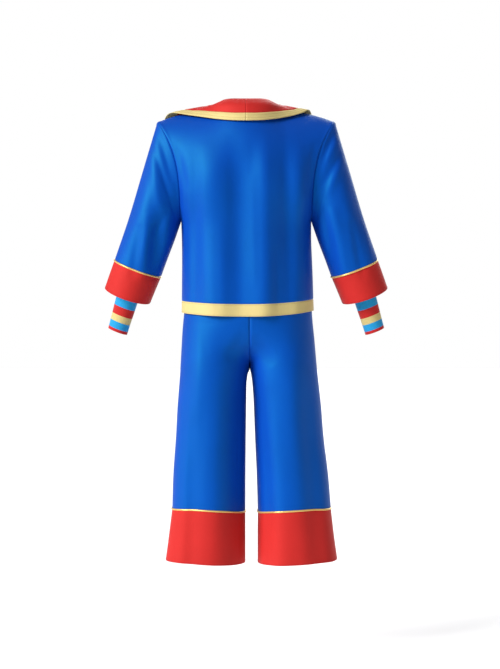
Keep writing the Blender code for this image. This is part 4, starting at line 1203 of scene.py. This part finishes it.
class COSTUME_OT_jacket(bpy.types.Operator):
    """Make the jacket's body, hem band, sleeves, cuffs and collar"""
    bl_idname = "costume.jacket"
    bl_label = "Jacket"

    def execute(self, context):
        halves, hems = ({(face, side): half(side, face) for face in (1, -1) for side in (1, -1)}
                        for half in (body_half, band_half))
        back, hem = (np.concatenate([half[1, -1][:, ::-1], half[1, 1][:, 1:]], axis=1) for half in (halves, hems))
        every = ("top", "bottom", "first", "last")
        pieces = [("back", "blue", back, every, ("top", "first", "last")),
                  ("hem_band_back", "yellow", hem, ("top", "first", "last"), ("first", "last"))]
        for side, word in SIDES:
            pieces.append(("front_" + word, "blue", halves[-1, side], every, ("top", "last")))
            pieces.append(("hem_band_front_" + word, "yellow", hems[-1, side], ("top", "last"), ("last",)))
        surfaces = []
        stitched = {"yellow": [], "red": []}
        for name, kind, grid, sewn, still in pieces:
            armhole = [edge for edge in still if edge != "top"] if kind == "blue" else ()
            points, normals = make_cloth("jacket_" + name, kind, grid, JACKET_CORE, creases=CREASES["jacket"],
                                         sewn=sewn, still=still, armhole=armhole)
            if kind == "blue":
                surfaces.append(points)
            else:
                stitched["yellow"] += [stitch_line(points, normals, row) for row in (2, -3)]
        tree = surface_tree(surfaces)
        self.make_arms(tree, stitched)
        self.make_collar(tree, stitched)
        for colour, lines in stitched.items():
            make_stitches("jacket_stitches_" + colour, lines, colour)
        return {"FINISHED"}

    def make_arms(self, tree, stitched):
        """Sleeves, bound armholes, cuffs, piping and undersleeves."""
        for side, word in SIDES:
            sleeve, cuff = "sleeve_" + word, "sleeve_cuff_" + word
            points, normals = make_cloth(sleeve, "blue", sleeve_grid(side),
                                         closed=True, creases=CREASES[sleeve], sewn=("bottom",), still=("top",),
                                         armhole=("top",))
            make_binding("armhole_binding_" + word, points[0], normals[0], tree)
            points, normals = make_cloth(cuff, "red", cuff_grid(side),
                                         closed=True, creases=CREASES[sleeve], sewn=("top",))
            line = stitch_line(points, normals, -3)
            stitched["red"].append(np.concatenate([line, line[:1]]))
            make_piping("sleeve_piping_" + word, points[0], normals[0])
            make_cloth("undersleeve_" + word, "knit", undersleeve_grid(side),
                       closed=True)

    def make_collar(self, tree, stitched):
        """Red fall and yellow band of both halves."""
        for side, word in SIDES:
            fall, band = collar_grids(side, tree)
            make_cloth("collar_" + word, "red", fall, JACKET_CORE, sewn=("last",))
            points, normals = make_cloth("collar_band_" + word, "yellow", band, JACKET_CORE,
                                         sewn=("first",))
            for column in (2, -3):
                stitched["yellow"].append(points[:, column] + normals[:, column] * STITCH_LIFT)


class COSTUME_OT_trousers(bpy.types.Operator):
    """Make the trousers' legs, cuffs, piping and waistband"""
    bl_idname = "costume.trousers"
    bl_label = "Trousers"

    def execute(self, context):
        heights, crotch_row = leg_heights()
        tops = {}
        lines = []
        top = LEG_CUFF_LEVELS[0][0]
        bottom = LEG_CUFF_LEVELS[-1][0]
        cuff_heights = [top + (bottom - top) * share for share in stops(LEG_CUFF_ROWS, top - bottom)]
        for side, word in SIDES:
            grid = leg_rows(TROUSER_CURVE, heights, side)
            tops[side] = grid[0]
            make_cloth("trouser_leg_" + word, "blue", grid, np.array((side * LEG_CORE_X, 0.0, LEG_CORE_Z)),
                       join_row=crotch_row, creases=CREASES["trousers"], sewn=("top", "bottom"))
            points, normals = make_cloth("trouser_cuff_" + word, "red", leg_rows(LEG_CUFF_CURVE, cuff_heights, side),
                                         join_row=0,
                                         creases=CREASES["trousers"], sewn=("top",))
            lines.append(stitch_line(points, normals, -3))
            make_piping("trouser_piping_" + word, points[0, :-1], normals[0, :-1])
        make_stitches("trouser_stitches_red", lines, "red")
        ring = np.concatenate([tops[1], tops[-1][::-1][1:-1]])
        centre = np.array((CROTCH_X, 0.0, 0.0))
        upper = centre + (ring - centre) * np.array((WAISTBAND_TOP_SCALE, WAISTBAND_TOP_SCALE, 1.0))
        upper[:, 2] = WAISTBAND_TOP_Z
        grid = np.array([upper + (ring - upper) * share for share in stops(BAND_ROWS, WAISTBAND_HEIGHT)])
        make_cloth("waistband", "blue", grid, closed=True,
                   sewn=("bottom",))
        return {"FINISHED"}


class COSTUME_OT_stage(bpy.types.Operator):
    """Make the floor, the lights and the camera"""
    bl_idname = "costume.stage"
    bl_label = "Stage"

    def execute(self, context):
        settings = context.scene.costume_stage
        self.make_floor(settings)
        self.make_lights(settings)
        self.make_camera(settings)
        context.scene.view_settings.view_transform = "Standard"
        return {"FINISHED"}

    def make_floor(self, settings):
        """A pale floor, far wider than the costume."""
        bpy.ops.mesh.primitive_plane_add(size=FLOOR_SIZE, location=(0.0, 0.0, settings.floor_height))
        floor = bpy.context.object
        floor.name = "studio_floor"
        material = bpy.data.materials.new("Pale studio floor")
        material.use_nodes = True
        tree = material.node_tree
        ramp = tree.nodes.new("ShaderNodeValToRGB")
        for element, grey in zip(ramp.color_ramp.elements, (0.96, 0.99)):
            element.color = (grey, grey, grey, 1.0)
        fill(tree, ramp, {"Fac": add_node(tree, "ShaderNodeTexNoise", {"Scale": 3.0})})
        fill(tree, tree.nodes["Principled BSDF"], {"Roughness": 0.6, "Base Color": ramp.outputs["Color"]})
        floor.data.materials.append(material)

    def make_lights(self, settings):
        """A broad soft light from the garment's left and behind, a weaker one in front, and a white room."""
        world = bpy.data.worlds.new("White room")
        bpy.context.scene.world = world
        world.use_nodes = True
        tree = world.node_tree
        white = (1.0, 1.0, 1.0, 1.0)
        room = fill(tree, tree.nodes["Background"], {"Color": white, "Strength": settings.room_light})
        seen = add_node(tree, "ShaderNodeBackground", {"Color": white, "Strength": 1.0})
        rays = add_node(tree, "ShaderNodeLightPath", output="Is Camera Ray")
        choose = add_node(tree, "ShaderNodeMixShader", {"Fac": rays, 1: room.outputs["Background"], 2: seen})
        fill(tree, tree.nodes["World Output"], {"Surface": choose})
        for name, place, share, softness in LAMPS:
            lamp = bpy.data.lights.new(name, "SUN")
            lamp.energy = settings.key_light * share
            lamp.angle = math.radians(softness)
            add_object(name, lamp).rotation_euler = Vector(place).to_track_quat("Z", "Y").to_euler()

    def make_camera(self, settings):
        """A level camera behind the costume."""
        camera = bpy.data.cameras.new("level_camera")
        camera.sensor_fit = "HORIZONTAL"
        camera.sensor_width = SENSOR_WIDTH
        camera.lens = SENSOR_WIDTH * FOCAL_PIXELS / PIXELS_WIDE
        camera.shift_y = (HORIZON_PIXEL - 0.5 * PIXELS_HIGH) / PIXELS_WIDE
        made = add_object("level_camera", camera)
        across = (BODY_PIXEL - 0.5 * PIXELS_WIDE) / FOCAL_PIXELS * settings.distance
        made.location = (across, settings.distance, settings.camera_height)
        made.rotation_euler = (math.radians(90.0), 0.0, math.radians(180.0))
        bpy.context.scene.camera = made


class COSTUME_PT_panel(bpy.types.Panel):
    """Costume settings and steps."""
    bl_label = "Clown costume"
    bl_idname = "COSTUME_PT_panel"
    bl_space_type = "VIEW_3D"
    bl_region_type = "UI"
    bl_category = "Costume"

    def draw(self, context):
        column = self.layout.column()
        for name in GROUPS:
            group = getattr(context.scene, name)
            for key in group.bl_rna.properties.keys():
                if key not in ("rna_type", "name"):
                    column.prop(group, key)
        for operator in (COSTUME_OT_jacket, COSTUME_OT_trousers, COSTUME_OT_stage):
            column.operator(operator.bl_idname)


GROUPS = {"costume_colours": CostumeColours, "costume_trims": CostumeTrims, "costume_stage": CostumeStage}
CLASSES = (*GROUPS.values(), COSTUME_OT_jacket, COSTUME_OT_trousers, COSTUME_OT_stage, COSTUME_PT_panel)


def register():
    for item in CLASSES:
        bpy.utils.register_class(item)
    for name, group in GROUPS.items():
        setattr(bpy.types.Scene, name, PointerProperty(type=group))


def unregister():
    for name in GROUPS:
        delattr(bpy.types.Scene, name)
    for item in reversed(CLASSES):
        bpy.utils.unregister_class(item)


def main():
    register()
    bpy.ops.costume.stage()
    bpy.ops.costume.jacket()
    bpy.ops.costume.trousers()


if __name__ == "__main__":
    main()
